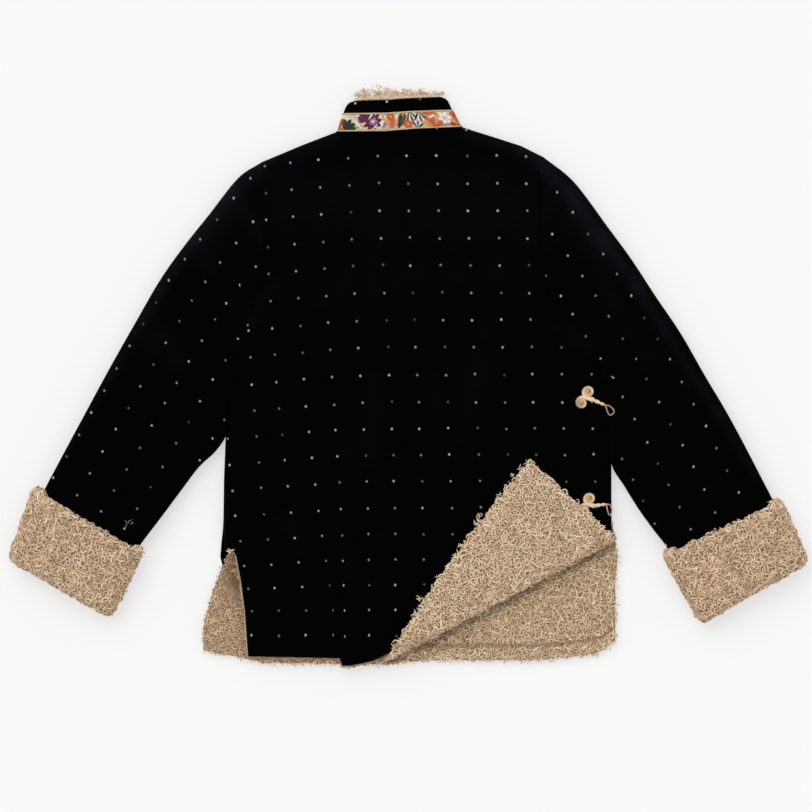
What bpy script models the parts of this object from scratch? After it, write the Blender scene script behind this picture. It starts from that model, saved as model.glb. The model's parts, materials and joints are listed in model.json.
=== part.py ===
"""A side-fastening jacket of dotted black wool, lined with curly fleece, laid face down.

Run with: blender --background --python part.py
World frame: metres, X across the open sleeves, Y from the hem to the collar, +Z up. The origin is
under the middle of the jacket, on the surface that it lies on. The sizes below are in millimetres.

The jacket is a flattened tube: a middle plane, and above and below it a layer of fleece and then a
layer of wool. A layer is named by its distance from that middle plane, and every edge that is sewn
or folded shut is rounded down to the plane.
"""
import math

import bmesh
import bpy
import numpy as np
from mathutils import Vector

MM = 0.001

# Walls and gaps
WOOL = 2.0
FLEECE = 6.0
CUFF_FLEECE = 9.0
RIBBON = 1.0
GAP = 0.3
SLIT = GAP / 2

# Distances of the surfaces from the middle plane
FLEECE_OUTER = SLIT + FLEECE
WOOL_INNER = FLEECE_OUTER + GAP
HALF = WOOL_INNER + WOOL
CUFF_INNER = HALF + GAP
CUFF_HALF = CUFF_INNER + CUFF_FLEECE
RIBBON_INNER = HALF - RIBBON
COLLAR_OUTER = RIBBON_INNER - GAP
COLLAR_INNER = COLLAR_OUTER - WOOL
COLLAR_FLEECE = COLLAR_INNER - GAP

# Outlines of the body
ARMPIT_Y = -31.0
VENT_Y = -213.0
NECK = (-89.6, 66.9)

SHOULDER_LINE = (
    # x, y
    (-183, 268), (-133, 289), (-90, 305.5), (-27, 306), (6, 309), (67, 311.5),
    (107, 299), (141, 288), (168, 274.5),
)
ARMHOLE_LEFT = (
    # y, x
    (ARMPIT_Y, -227), (14, -216), (52, -203), (95, -192), (134, -181), (170, -181),
    (210, -183), (268, -183),
)
ARMHOLE_RIGHT = (
    # y, x
    (ARMPIT_Y, 253), (5, 243), (32, 221), (67, 186), (114, 174), (128, 171), (158, 166),
    (258, 166), (275, 168),
)
BACK_HEM = (
    # x, y
    (-200, -350.5), (-88, -352.7), (-86, -352.7), (-83, -361.5), (-74, -362), (-58, -359),
    (-42, -355), (278, -345),
)
BACK_LEFT = ((-350, -200.5), (-294, -204.5), (-256, -209.5), (-221, -216), (VENT_Y, -231),
             (-130, -231), (-81, -229)) + ARMHOLE_LEFT
BACK_RIGHT = ((-345, 278), (-192, 254), (-111, 254)) + ARMHOLE_RIGHT
FRONT_HEM = (
    # x, y
    (-257, -343), (-241, -347), (-222, -349.5), (-203, -354), (-180, -359), (-30, -361),
    (22, -355.5), (153, -355.5), (197, -352.5), (234, -347.5), (245, -342.5), (260, -330),
)
FRONT_LEFT = ((-343, -257), (-315, -257), (-294, -252), (-272, -246), (-251, -238),
              (-237, -234.5), (VENT_Y, -232), (-130, -231), (-81, -229)) + ARMHOLE_LEFT
FRONT_RIGHT = ((-330, 259), (-259, 259), (-228, 262), (-209, 259), (-187, 254),
               (-111, 254)) + ARMHOLE_RIGHT
SIDE_CLOSED_RIGHT_Y = -155.0
FIRST_OPEN = (15.0, 30.0)

# How far a layer goes past the outline on the first open row of a side, and on the others
REACH = {"back wool": (0.0, 0.0), "back fleece": (-2.5, 2.0),
         "front wool": (0.0, -2.5), "front fleece": (-2.5, 0.0)}

# The tuck of the back, a step between two columns of the panel
TUCK = (-86.0, -83.0)
TUCK_HEIGHT = 4.5
TUCK_TOP_Y = (-30.0, -230.0)
TUCK_FADE_X = -5.0

# The turned-up corner: its crease runs from the hem to the side
CREASE_START = Vector((-42.0, -355.0))
CREASE_END = Vector((248.0, -200.0))
FOLD_NEUTRAL = 5.0
FOLD_INNER = 1.7
FOLD_STEPS = 6

# Soft folds of the laid cloth: a ridge, or a trough where the height is below zero
FOLDS = (
    # x0,  y0,  x1,   y1, width, height
    (-20, 230, -20, -280, 170, 2.5),
    (-250, 150, -370, -100, 70, 3.0),
    (245, 140, 370, -100, 70, 3.0),
    (137, 182, 137, -55, 28, -1.8),
    (-140, 200, -150, 60, 26, -1.5),
    (-229, 165, -225, 60, 24, -1.6),
    (200, 150, 225, 40, 24, -1.8),
)

# Sleeves, from the armhole to the top of the cuff
SLEEVE_LEFT = (
    # upper x, upper y, lower x, lower y, share of the rise to the cuff
    (-213.5, 247.5, -228.2, -37, 0.0), (-250, 201.5, -229.8, -50, 0.01), (-281, 162.5, -232, -66, 0.05),
    (-311, 120, -243, -90, 0.15), (-341, 68, -262, -114, 0.35), (-372, 13, -284, -143, 0.6),
    (-406, -50, -310, -178, 0.9),
)
SLEEVE_RIGHT = (
    (207, 243, 254.3, -37, 0.0), (249.5, 186.5, 255.2, -53, 0.01), (279.5, 145.5, 255.9, -74, 0.05),
    (309.5, 99.5, 257.5, -104, 0.15), (340.5, 53.5, 270, -138, 0.35), (370.5, 1, 288, -167, 0.6),
    (405.5, -59, 306, -192, 0.9),
)
SLEEVE_ACROSS = 8

# Cuff corners in plan
CUFF_LEFT = {"top outer": (-469, -136), "top inner": (-329, -218),
             "end outer": (-501, -229), "end inner": (-371, -303), "sides": (16, 8)}
CUFF_RIGHT = {"top outer": (466, -152), "top inner": (315, -221),
              "end outer": (501, -232), "end inner": (364, -310), "sides": (11, 10)}
SLEEVE_END = 12.0
CUFF_ACROSS = 6
CUFF_PROFILE = (
    # from the end (share of the length), distance from the middle plane, share of the outer outline
    (0.125, SLIT, 0.0), (0.05, 0.6, 0.0), (0.015, 3.0, 0.0), (0.0, 7.0, 0.35), (0.005, 12.0, 0.7),
    (0.04, 16.0, 1.0), (0.11, CUFF_HALF, 1.0), (0.5, CUFF_HALF, 1.0), (0.9, 17.3, 1.0),
    (0.98, 14.2, 1.0), (1.0, 11.5, 0.7), (0.97, CUFF_INNER, 0.0), (0.5, CUFF_INNER, 0.0),
    (0.125, CUFF_INNER, 0.0),
)

# Collar, from the neck seam up: the two ends of each level
COLLAR_LEVELS = (
    # left x, left y, right x, right y
    (-89.6, 305.6, 66.9, 311.6), (-83, 328.5, 56, 333), (-77.5, 340, 50, 345), (-70, 344, 43, 349),
)
RIBBON_LEVELS = 2
RIM_TOP = (
    # x, y
    (-72, 350), (-58, 357), (-39, 364.6), (-22, 358.5), (18, 358), (36, 355), (45, 350),
)
FRONT_OPENING_X = -11.5
OVERLAP_END = (253.0, ARMPIT_Y)

# Frogs: one cord, two coils, a double stem and a loop
CORD = 2.3
COIL_PITCH = 2.6
COIL_RADIUS = 7.4
FROG_LIFT = 0.5
FROGS = {
    "frog_upper": {
        "coils": ((224.9, -19.9), (216.6, -33.4)), "stem": ((229.5, -29.3), (246.5, -36.4)),
        "loop": ((250.5, -37.2), (256.8, -41.0), (256.6, -46.0), (252.0, -48.4), (248.6, -45.0)),
    },
    "frog_lower": {
        "coils": ((226.4, -153.5), (219.6, -167.6)), "stem": ((231.0, -162.2), (247.5, -160.3)),
        "loop": ((251.5, -160.6), (255.6, -164.0), (256.0, -170.0), (252.4, -174.0), (248.8, -170.6)),
    },
}

# Finishes: colour, roughness, metallic
FINISHES = {
    "wool": ((0.007, 0.007, 0.008), 0.92, 0.0),
    "fleece": ((0.46, 0.31, 0.2), 0.95, 0.0),
    "brocade": ((0.62, 0.5, 0.3), 0.55, 0.1),
    "satin": ((0.5, 0.31, 0.12), 0.35, 0.1),
}

ROUND = [math.radians(angle) for angle in (0, 45, 90)]
LOW_LEVELS = (0, 0.1, 0.2, 0.3, 0.406, 0.431, 0.54, 0.65, 0.77, 0.89)
COLUMNS = {"fine": (5, 6, 5), "plain": (3, 6, 3)}


def clear_scene():
    for item in list(bpy.data.objects):
        bpy.data.objects.remove(item)


def reading(table, at):
    """Reads a two-column table as a line through its rows."""
    columns = np.array(table, float).T
    return float(np.interp(at, columns[0], columns[1]))


def ease(start, end, at):
    share = min(max((at - start) / (end - start), 0.0), 1.0)
    return share * share * (3 - 2 * share)


def rise(x, y):
    """How far the folds lift the upper layers at a place."""
    height = 0.0
    for x0, y0, x1, y1, width, tall in FOLDS:
        along = Vector((x1 - x0, y1 - y0))
        place = Vector((x - x0, y - y0))
        share = min(max(place.dot(along) / along.length_squared, 0.0), 1.0)
        away = (place - along * share).length
        height += tall * math.exp(-((away / width) ** 2))
    return max(height, 0.0) * (1 - ease(262, 300, y))


def tuck_of_wool(x, y):
    step = min(max((x - TUCK[0]) / (TUCK[1] - TUCK[0]), 0.0), 1.0)
    return TUCK_HEIGHT * ease(*TUCK_TOP_Y, y) * step * (1 - ease(TUCK[1], TUCK_FADE_X, x))


def tuck_of_fleece(x, y):
    """The lining fills the hollow behind the tuck, a little lower than the wool."""
    step = ease(TUCK[1] - 1, TUCK[1] + 24, x)
    lower = TUCK_HEIGHT - 1.2
    return lower * ease(*TUCK_TOP_Y, y) * step * (1 - ease(TUCK[1] + 18, TUCK_FADE_X, x))


def fold_corner(point):
    """Turns what lies past the crease up and over, as a stiff roll round one axis."""
    along = (CREASE_END - CREASE_START).normalized()
    out = Vector((along.y, -along.x))
    past = (point.xy - CREASE_START).dot(out)
    if past <= 0:
        return point
    axis = 2 * HALF + FOLD_INNER
    depth = axis - point.z
    angle = min(past / FOLD_NEUTRAL, math.pi)
    landed = depth * math.sin(angle) - max(past - math.pi * FOLD_NEUTRAL, 0.0)
    moved = point.xy + out * (landed - past)
    lift = rise(moved.x, moved.y) * ease(0, math.pi, angle)
    return Vector((moved.x, moved.y, axis - depth * math.cos(angle) + lift))


def finish(mesh_or_bm, name, finish_name, parts):
    """Makes the object, its own material, and its place in the collection."""
    if isinstance(mesh_or_bm, bmesh.types.BMesh):
        mesh = bpy.data.meshes.new(name)
        bmesh.ops.triangulate(mesh_or_bm, faces=mesh_or_bm.faces)
        bmesh.ops.recalc_face_normals(mesh_or_bm, faces=mesh_or_bm.faces)
        mesh_or_bm.to_mesh(mesh)
        mesh_or_bm.free()
    else:
        mesh = mesh_or_bm
    mesh.shade_smooth()
    mesh.set_sharp_from_angle(angle=math.radians(50))
    colour, roughness, metallic = FINISHES[finish_name]
    material = bpy.data.materials.new(f"{name}_{finish_name}")
    material.use_nodes = True
    shader = material.node_tree.nodes["Principled BSDF"]
    shader.inputs["Base Color"].default_value = (*colour, 1)
    shader.inputs["Roughness"].default_value = roughness
    shader.inputs["Metallic"].default_value = metallic
    mesh.materials.append(material)
    item = bpy.data.objects.new(name, mesh)
    parts.objects.link(item)
    return item


def panel_rows():
    """The rows of a panel: below the armpit, above it, and the rounding at the shoulder."""
    rows = [("low", level, ROUND[-1]) for level in LOW_LEVELS]
    rows += [("high", step / SLEEVE_ACROSS, ROUND[-1]) for step in range(SLEEVE_ACROSS)]
    rows += [("top", 1.0, angle) for angle in reversed(ROUND)]
    return rows


def height_of(row, hem, x, neck, offset):
    """The height on the plan of a row at a place across, and its rounding."""
    band, level, angle = row
    top = reading(SHOULDER_LINE, x)
    if band == "low":
        low = reading(hem, x)
        return low + level * (ARMPIT_Y - low), ROUND[-1]
    if band == "high":
        return ARMPIT_Y + level * (top - ARMPIT_Y), ROUND[-1]
    if neck:
        flat = {ROUND[0]: SLIT, ROUND[1]: HALF / 2, ROUND[2]: HALF}
        return top - flat[angle], ROUND[-1]
    return top - (HALF - offset * math.cos(angle)), angle


def panel_point(row, column, counts, outline, offset, side):
    """One point of a panel's surface, `offset` from the middle plane, above it or below it."""
    hem, left, right, reach = outline
    band, level, _ = row
    left_count, middle_count, right_count = counts
    arc = len(ROUND) - 1
    last = 2 * arc + left_count + 1 + middle_count + right_count
    ends = []
    for edge in (left, right):
        x = edge[len(edge) // 2][1]
        for _ in range(4):
            y, _ = height_of(row, hem, x, False, offset)
            x = reading(edge, y)
        ends.append((x, y))
    (x_left, y_left), (x_right, y_right) = ends
    closed_left = band == "low" and y_left > VENT_Y - 1
    closed_right = band == "low" and y_right > SIDE_CLOSED_RIGHT_Y
    if band == "low" and not closed_left:
        x_left -= reach[0] if y_left > VENT_Y - FIRST_OPEN[0] else reach[1]
    if band == "low" and not closed_right:
        x_right += reach[0] if y_right > SIDE_CLOSED_RIGHT_Y - FIRST_OPEN[1] else reach[1]
    from_end = min(column, last - column)
    sign, edge_x, closed = (1, x_left, closed_left) if column <= last / 2 else (-1, x_right, closed_right)
    side_angle = ROUND[-1]
    if from_end < arc and closed:
        side_angle = ROUND[from_end]
        x = edge_x + sign * (HALF - offset * math.cos(side_angle))
    elif from_end <= arc:
        x = edge_x + sign * (SLIT, HALF / 2, HALF)[from_end]
    else:
        share_top = 1.0 if band != "low" else 0.0
        guides = (x_left + HALF, TUCK[0] + share_top * (NECK[0] - TUCK[0]) * level,
                  TUCK[1] + share_top * (NECK[0] + 14 - TUCK[1]) * level, NECK[1], x_right - HALF)
        places = (arc, arc + left_count, arc + left_count + 1,
                  arc + left_count + 1 + middle_count, last - arc)
        x = float(np.interp(column, places, guides))
    neck = arc + left_count <= column <= arc + left_count + 1 + middle_count
    y, top_angle = height_of(row, hem, x, neck, offset)
    if band == "low" and level == 0:
        y -= reach[1]
    round_off = min(math.sin(side_angle), math.sin(top_angle))
    tall = max(offset * round_off, SLIT)
    return Vector((x, y, HALF + side * tall)), round_off


def lay_panel(grade, outline, layers, side, lifts=(None, None)):
    """A panel as a closed slab between two offsets from the middle plane."""
    rows = panel_rows()
    counts = COLUMNS[grade]
    across = 2 * (len(ROUND) - 1) + sum(counts) + 1
    up = len(rows) - 1
    bm = bmesh.new()
    bmesh.ops.create_grid(bm, x_segments=across, y_segments=up, size=1)
    bmesh.ops.triangulate(bm, faces=bm.faces, quad_method="FIXED")
    second = bmesh.ops.extrude_face_region(bm, geom=bm.faces[:], use_keep_orig=True)["geom"]
    for vert in (item for item in second if isinstance(item, bmesh.types.BMVert)):
        vert.co.z = 1
    for vert in bm.verts:
        column = round((vert.co.x + 1) / 2 * across)
        row = rows[round((vert.co.y + 1) / 2 * up)]
        layer = round(vert.co.z)
        point, weight = panel_point(row, column, counts, outline, layers[layer], side)
        if lifts[layer]:
            point.z += weight * (rise(point.x, point.y) + lifts[layer](point.x, point.y))
        vert.co = point
    return bm


def turn_corner(bm):
    """Cuts the slab along the crease in narrow strips and rolls the corner over."""
    along = (CREASE_END - CREASE_START).normalized()
    out = Vector((along.y, -along.x, 0))
    for step in range(FOLD_STEPS + 1):
        past = FOLD_NEUTRAL * math.pi * step / FOLD_STEPS
        bmesh.ops.bisect_plane(bm, geom=bm.verts[:] + bm.edges[:] + bm.faces[:], dist=1e-4,
                               plane_co=CREASE_START.to_3d() + out * past, plane_no=out)
    bmesh.ops.triangulate(bm, faces=bm.faces)
    for vert in bm.verts:
        vert.co = fold_corner(vert.co)


def keep_side(bm, start, end, keep_left):
    """Keeps what lies on one side of an upright cut, with half a gap, and closes the cut."""
    along = (Vector(end) - Vector(start)).normalized()
    normal = Vector((along.y, -along.x, 0)) * (1 if keep_left else -1)
    cut = bmesh.ops.bisect_plane(bm, geom=bm.verts[:] + bm.edges[:] + bm.faces[:], dist=1e-4,
                                 plane_co=Vector(start).to_3d() - normal * SLIT, plane_no=normal,
                                 clear_outer=True)["geom_cut"]
    edges = [item for item in cut if isinstance(item, bmesh.types.BMEdge)]
    bmesh.ops.contextual_create(bm, geom=edges)


def to_metres(bm):
    bmesh.ops.scale(bm, vec=(MM, MM, MM), verts=bm.verts)
    return bm


def flat_ring(spine, edge, offset, middle, lift=0.0):
    """A flattened ring round plan points whose ends are the outline of a layer `edge` high."""
    first = (spine[1] - spine[0]).normalized()
    last = (spine[-2] - spine[-1]).normalized()
    upper = []
    for angle in ROUND:
        upper.append((spine[0] + first * (edge - offset * math.cos(angle)), math.sin(angle)))
    upper += [(point, 1.0) for point in spine[1:-1]]
    for angle in reversed(ROUND):
        upper.append((spine[-1] + last * (edge - offset * math.cos(angle)), math.sin(angle)))
    ring = [Vector((p.x, p.y, middle + weight * (offset + lift * rise(p.x, p.y))))
            for p, weight in upper]
    ring += [Vector((p.x, p.y, middle - weight * offset)) for p, weight in reversed(upper[1:-1])]
    return ring


def loft(rings, closed=True):
    """Skins a run of rings and joins the last to the first; an open ring gets end faces."""
    bm = bmesh.new()
    rows = [[bm.verts.new(point) for point in ring] for ring in rings]
    count = len(rings[0])
    for one, two in zip(rows, rows[1:] + rows[:1]):
        for k in range(count if closed else count - 1):
            after = (k + 1) % count
            bm.faces.new((one[k], one[after], two[after], two[k]))
    if not closed:
        bm.faces.new([row[0] for row in rows])
        bm.faces.new([row[-1] for row in rows])
    return bm


def armhole_spine(armhole, out):
    """The armhole from the shoulder to the armpit, through the same heights as the body's rows."""
    outline = (BACK_HEM, armhole, armhole, REACH["back wool"])
    spine = []
    for step in range(SLEEVE_ACROSS, -1, -1):
        row = ("high", step / SLEEVE_ACROSS, ROUND[-1])
        column = 0 if out < 0 else 2 * (len(ROUND) - 1) + sum(COLUMNS["fine"]) + 1
        point, _ = panel_point(row, column, COLUMNS["fine"], outline, HALF, 1)
        spine.append(point.xy + Vector((out * 2 * SLIT, 0)))
    return spine


def cuff_line(corners, share):
    """The two ends of the cuff's outline, `share` of the way from its end to its top."""
    outer = Vector(corners["end outer"]).lerp(Vector(corners["top outer"]), share)
    inner = Vector(corners["end inner"]).lerp(Vector(corners["top inner"]), share)
    return outer, inner


def sleeve_in_cuff(corners, share):
    outer, inner = cuff_line(corners, share)
    across = (inner - outer).normalized()
    return outer + across * corners["sides"][0], inner - across * corners["sides"][1]


def sleeve_stations(table, armhole, corners, out):
    """Spines across the sleeve from the armhole to its end, with the height of its middle."""
    first = armhole_spine(armhole, out)
    chord = first[-1] - first[0]
    shares = [(point - first[0]).dot(chord) / chord.length_squared for point in first]
    bows = [point - first[0] - chord * share for point, share in zip(first, shares)]
    rest = [(Vector(row[:2]), Vector(row[2:4]), row[4]) for row in table]
    length = (Vector(corners["top outer"]) - Vector(corners["end outer"])).length
    for share in (1.06, 0.93, 0.5, (SLEEVE_END + GAP) / length + 0.012):
        rest.append((*sleeve_in_cuff(corners, share), 1.0))
    stations = [(first, HALF)]
    for number, (upper, lower, climb) in enumerate(rest, 1):
        keep = max(1 - number / (len(table) - 1), 0.0) ** 2.5
        across = lower - upper
        even = [step / SLEEVE_ACROSS for step in range(SLEEVE_ACROSS + 1)]
        spine = [upper + across * (share * keep + flat * (1 - keep)) + bow * keep
                 for share, flat, bow in zip(shares, even, bows)]
        stations.append((spine, HALF + climb * (CUFF_HALF - HALF)))
    return stations


def sleeve_tube(stations, outer, inner):
    """A flattened tube wall along the stations; the folds fade before the cuff."""
    rings = []
    fades = [1 - ease(0.35, 0.65, number / len(stations)) for number in range(len(stations))]
    for (spine, middle), fade in zip(stations, fades):
        rings.append(flat_ring(spine, HALF, outer, middle, fade))
    for (spine, middle), fade in reversed(list(zip(stations, fades))):
        rings.append(flat_ring(spine, HALF, inner, middle, fade))
    return loft(rings)


def cuff_band(corners):
    """The turned-back cuff: it closes over the sleeve's end and lies back round the sleeve."""
    rings = []
    for share, offset, blend in CUFF_PROFILE:
        wide = cuff_line(corners, share)
        narrow = sleeve_in_cuff(corners, share)
        ends = [a.lerp(b, blend) for a, b in zip(narrow, wide)]
        edge = HALF + (CUFF_HALF - HALF) * blend
        spine = [ends[0].lerp(ends[1], step / CUFF_ACROSS) for step in range(CUFF_ACROSS + 1)]
        rings.append(flat_ring(spine, edge, offset, CUFF_HALF))
    return loft(rings)


def collar_spine(level):
    """Plan points along the collar at one level, above the body's own neck points."""
    x_left, y_left, x_right, y_right = level
    bottom = COLLAR_LEVELS[0]
    middle_count = COLUMNS["fine"][1]
    xs = [NECK[0]] + list(np.linspace(NECK[0] + 14, NECK[1], middle_count + 1))
    spine = []
    for x in xs:
        share = (x - bottom[0]) / (bottom[2] - bottom[0])
        bow = reading(SHOULDER_LINE, x) - (bottom[1] + share * (bottom[3] - bottom[1]))
        flatter = 1 - (y_left - bottom[1]) / 60
        spine.append(Vector((x_left + share * (x_right - x_left),
                             y_left + share * (y_right - y_left) + bow * flatter + SLIT)))
    return spine


def open_ring(ring):
    """Starts a ring at the front opening, under the collar, and parts its ends by a gap."""
    under = [k for k, point in enumerate(ring) if point.z < HALF - 0.01]
    start = min(under, key=lambda k: abs(ring[k].x - FRONT_OPENING_X))
    turned = ring[start:] + ring[:start]
    last = turned[0].copy()
    turned[0] = turned[0] - Vector((SLIT, 0, 0))
    last.x += SLIT
    return turned + [last]


def collar_tube(levels, outer, inner):
    rings = [open_ring(flat_ring(collar_spine(level), HALF, outer, HALF)) for level in levels]
    rings += [open_ring(flat_ring(collar_spine(level), HALF, inner, HALF))
              for level in reversed(levels)]
    return loft(rings, closed=False)


def collar_fleece():
    """The lining inside the collar, which swells past the top edge into the rim."""
    top = COLLAR_LEVELS[-1]
    rim = (-72.0, 350.0, 45.0, 350.0)
    rings = [open_ring(flat_ring(collar_spine(level), HALF, COLLAR_FLEECE, HALF))
             for level in COLLAR_LEVELS]
    for swell, offset in ((0.25, 6.8), (0.75, 6.4), (1.0, 3.2), (0.75, SLIT)):
        spine = []
        for point in collar_spine(top):
            x = point.x
            reach = reading(RIM_TOP, x)
            spine.append(Vector((x, point.y + swell * (max(reach, rim[1]) - point.y))))
        rings.append(open_ring(flat_ring(spine, HALF, offset, HALF)))
    rings += [open_ring(flat_ring(collar_spine(level), HALF, SLIT, HALF))
              for level in reversed(COLLAR_LEVELS)]
    return loft(rings, closed=False)


def coil(centre, outlet):
    """A flat spiral from its middle out to the point where the cord leaves it."""
    leave = math.atan2(outlet.y - centre.y, outlet.x - centre.x)
    turns = (COIL_RADIUS - CORD / 2 - 1.2) / COIL_PITCH
    spin = 1 if outlet.y < centre.y else -1
    count = round(turns * 10)
    points = []
    for step in range(count + 1):
        share = step / count
        radius = 1.2 + COIL_PITCH * turns * share
        angle = leave - spin * 0.9 - spin * 2 * math.pi * turns * (1 - share)
        points.append(Vector((centre.x + radius * math.cos(angle), centre.y + radius * math.sin(angle))))
    return points


def frog(name, shape, parts):
    """One cord: out of a coil, along the stem, round the loop and back into the other coil."""
    first, second = (Vector(centre) for centre in shape["coils"])
    start, end = (Vector(point) for point in shape["stem"])
    aside = (end - start).orthogonal().normalized() * (CORD / 2 + 0.12)
    route = coil(first, start) + [start + aside, start.lerp(end, 0.5) + aside, end + aside]
    route += [Vector(point) for point in shape["loop"]]
    route += [end - aside, start.lerp(end, 0.5) - aside, start - aside] + coil(second, start)[::-1]
    curve = bpy.data.curves.new(name, "CURVE")
    curve.dimensions = "3D"
    curve.bevel_depth = CORD / 2 * MM
    curve.bevel_resolution = 1
    curve.use_fill_caps = True
    spline = curve.splines.new("POLY")
    spline.points.add(len(route) - 1)
    for knot, point in zip(spline.points, route):
        height = 2 * HALF + rise(point.x, point.y) + FROG_LIFT + CORD / 2
        knot.co = (point.x * MM, point.y * MM, height * MM, 1)
    draft = bpy.data.objects.new(f"{name}_draft", curve)
    parts.objects.link(draft)
    bpy.context.view_layer.update()
    graph = bpy.context.evaluated_depsgraph_get()
    mesh = bpy.data.meshes.new_from_object(draft.evaluated_get(graph))
    bpy.data.objects.remove(draft)
    bm = bmesh.new()
    bm.from_mesh(mesh)
    bmesh.ops.remove_doubles(bm, verts=bm.verts, dist=1e-6)
    return finish(bm, name, "satin", parts)


def build():
    clear_scene()
    parts = bpy.data.collections.new("side_fastening_jacket")
    bpy.context.scene.collection.children.link(parts)
    back = (BACK_HEM, BACK_LEFT, BACK_RIGHT, REACH["back wool"])
    back_fleece = (BACK_HEM, BACK_LEFT, BACK_RIGHT, REACH["back fleece"])
    front = (FRONT_HEM, FRONT_LEFT, FRONT_RIGHT, REACH["front wool"])
    front_fleece = (FRONT_HEM, FRONT_LEFT, FRONT_RIGHT, REACH["front fleece"])

    bm = lay_panel("fine", back, (WOOL_INNER, HALF), 1,
                   (tuck_of_wool, tuck_of_wool))
    turn_corner(bm)
    finish(to_metres(bm), "back_panel", "wool", parts)
    bm = lay_panel("fine", back_fleece, (SLIT, FLEECE_OUTER), 1,
                   (None, tuck_of_fleece))
    turn_corner(bm)
    finish(to_metres(bm), "back_lining", "fleece", parts)
    bm = lay_panel("plain", front_fleece, (SLIT, FLEECE_OUTER), -1)
    finish(to_metres(bm), "front_lining", "fleece", parts)
    for name, keep_left in (("front_overlap", False), ("front_under", True)):
        bm = lay_panel("plain", front, (WOOL_INNER, HALF), -1)
        keep_side(bm, (FRONT_OPENING_X, 306.0), OVERLAP_END, keep_left)
        finish(to_metres(bm), name, "wool", parts)

    for hand, table, armhole, corners, out in (
            ("left", SLEEVE_LEFT, ARMHOLE_LEFT, CUFF_LEFT, -1),
            ("right", SLEEVE_RIGHT, ARMHOLE_RIGHT, CUFF_RIGHT, 1)):
        stations = sleeve_stations(table, armhole, corners, out)
        wool = sleeve_tube(stations, HALF, WOOL_INNER)
        finish(to_metres(wool), f"sleeve_{hand}", "wool", parts)
        fleece = sleeve_tube(stations, FLEECE_OUTER, SLIT)
        finish(to_metres(fleece), f"sleeve_lining_{hand}", "fleece", parts)
        finish(to_metres(cuff_band(corners)), f"cuff_{hand}", "fleece", parts)

    finish(to_metres(collar_tube(COLLAR_LEVELS, COLLAR_OUTER, COLLAR_INNER)), "collar", "wool", parts)
    ribbon = collar_tube(COLLAR_LEVELS[:RIBBON_LEVELS], HALF, RIBBON_INNER)
    finish(to_metres(ribbon), "collar_ribbon", "brocade", parts)
    finish(to_metres(collar_fleece()), "collar_lining", "fleece", parts)
    for name, shape in FROGS.items():
        frog(name, shape, parts)


build()
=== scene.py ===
# %% [markdown]
# # A side-fastening jacket of dotted wool, lined with curly fleece
#
# The jacket lies face down on a pale table: black wool with woven pin dots, a curly fleece lining
# that shows at the cuffs, the side vent and one turned-up corner, a flowered ribbon round the
# stand collar, and two frogs of satin cord. Sizes here are in millimetres, as a pattern cutter
# writes them, and they become metres only where a mesh is made.
#
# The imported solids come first, because each piece of cloth has to lie where its solid lies.

# %% Load the frame
import json
import math

import bmesh
import bpy
import numpy as np
from mathutils import Matrix, Vector

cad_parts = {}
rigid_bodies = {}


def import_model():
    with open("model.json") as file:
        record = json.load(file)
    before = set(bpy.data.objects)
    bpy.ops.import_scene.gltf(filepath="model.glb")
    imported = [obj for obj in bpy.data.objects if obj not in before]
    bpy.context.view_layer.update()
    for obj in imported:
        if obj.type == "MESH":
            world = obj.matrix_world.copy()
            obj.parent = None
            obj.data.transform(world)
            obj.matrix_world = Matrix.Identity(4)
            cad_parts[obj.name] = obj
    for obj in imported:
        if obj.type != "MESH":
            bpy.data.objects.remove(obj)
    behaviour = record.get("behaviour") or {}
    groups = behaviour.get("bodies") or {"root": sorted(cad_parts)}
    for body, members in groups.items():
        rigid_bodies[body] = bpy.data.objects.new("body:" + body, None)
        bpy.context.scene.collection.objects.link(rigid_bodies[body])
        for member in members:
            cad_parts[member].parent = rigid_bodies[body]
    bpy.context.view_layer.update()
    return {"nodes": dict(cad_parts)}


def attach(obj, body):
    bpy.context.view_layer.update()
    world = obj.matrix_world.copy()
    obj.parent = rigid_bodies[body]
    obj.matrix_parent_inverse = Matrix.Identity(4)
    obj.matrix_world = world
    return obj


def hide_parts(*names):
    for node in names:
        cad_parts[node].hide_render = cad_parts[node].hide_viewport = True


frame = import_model()
MM = 0.001
ROOT = "root"
print("nodes:", ", ".join(sorted(frame["nodes"])))

# %% [markdown]
# The photograph looks straight down. One of its pixels is 1.25 mm of cloth, so its middle is a
# known place on the jacket. A long lens far away keeps the thick cuffs and the thin hem at one
# scale.

# %% The camera
IMAGE_WIDTH = 812
PIXEL = 1.25
VIEW_CENTRE = (-3.1, -37.5)
VIEW_LEVEL = 17.0
LENS = 250.0
SENSOR = 36.0


def in_scene(thing):
    """Links a new object to the scene and gives it back."""
    bpy.context.scene.collection.objects.link(thing)
    return thing


distance = IMAGE_WIDTH * PIXEL * LENS / SENSOR + VIEW_LEVEL
camera_data = bpy.data.cameras.new("camera_above")
camera_data.lens = LENS
camera_data.sensor_width = SENSOR
camera_data.clip_end = 50.0
camera = in_scene(bpy.data.objects.new("camera_above", camera_data))
camera.location = (VIEW_CENTRE[0] * MM, VIEW_CENTRE[1] * MM, distance * MM)
bpy.context.scene.camera = camera
print(f"camera {distance * MM:.2f} m above the table")

# %% [markdown]
# Soft studio light comes from a bright even surround, and from one broad sun high on the left
# that gives the curls and the rolled corner their shade. The table is a plain pale sheet that
# glows a little, like the light table on which a garment is photographed for a catalogue: shadows
# stay faint.

# %% Light and table
SURROUND = 0.78
KEY_LIGHT = {"strength": 0.95, "angle": 50.0, "tilt": (34.0, -24.0)}
TABLE_SIZE = 9.0

TABLE_DROP = 0.0004

world = bpy.data.worlds.new("studio")
world.use_nodes = True
surround = world.node_tree.nodes["Background"].inputs
surround["Color"].default_value = (1, 1, 1, 1)
surround["Strength"].default_value = SURROUND
bpy.context.scene.world = world
bpy.context.scene.view_settings.view_transform = "Standard"

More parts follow.
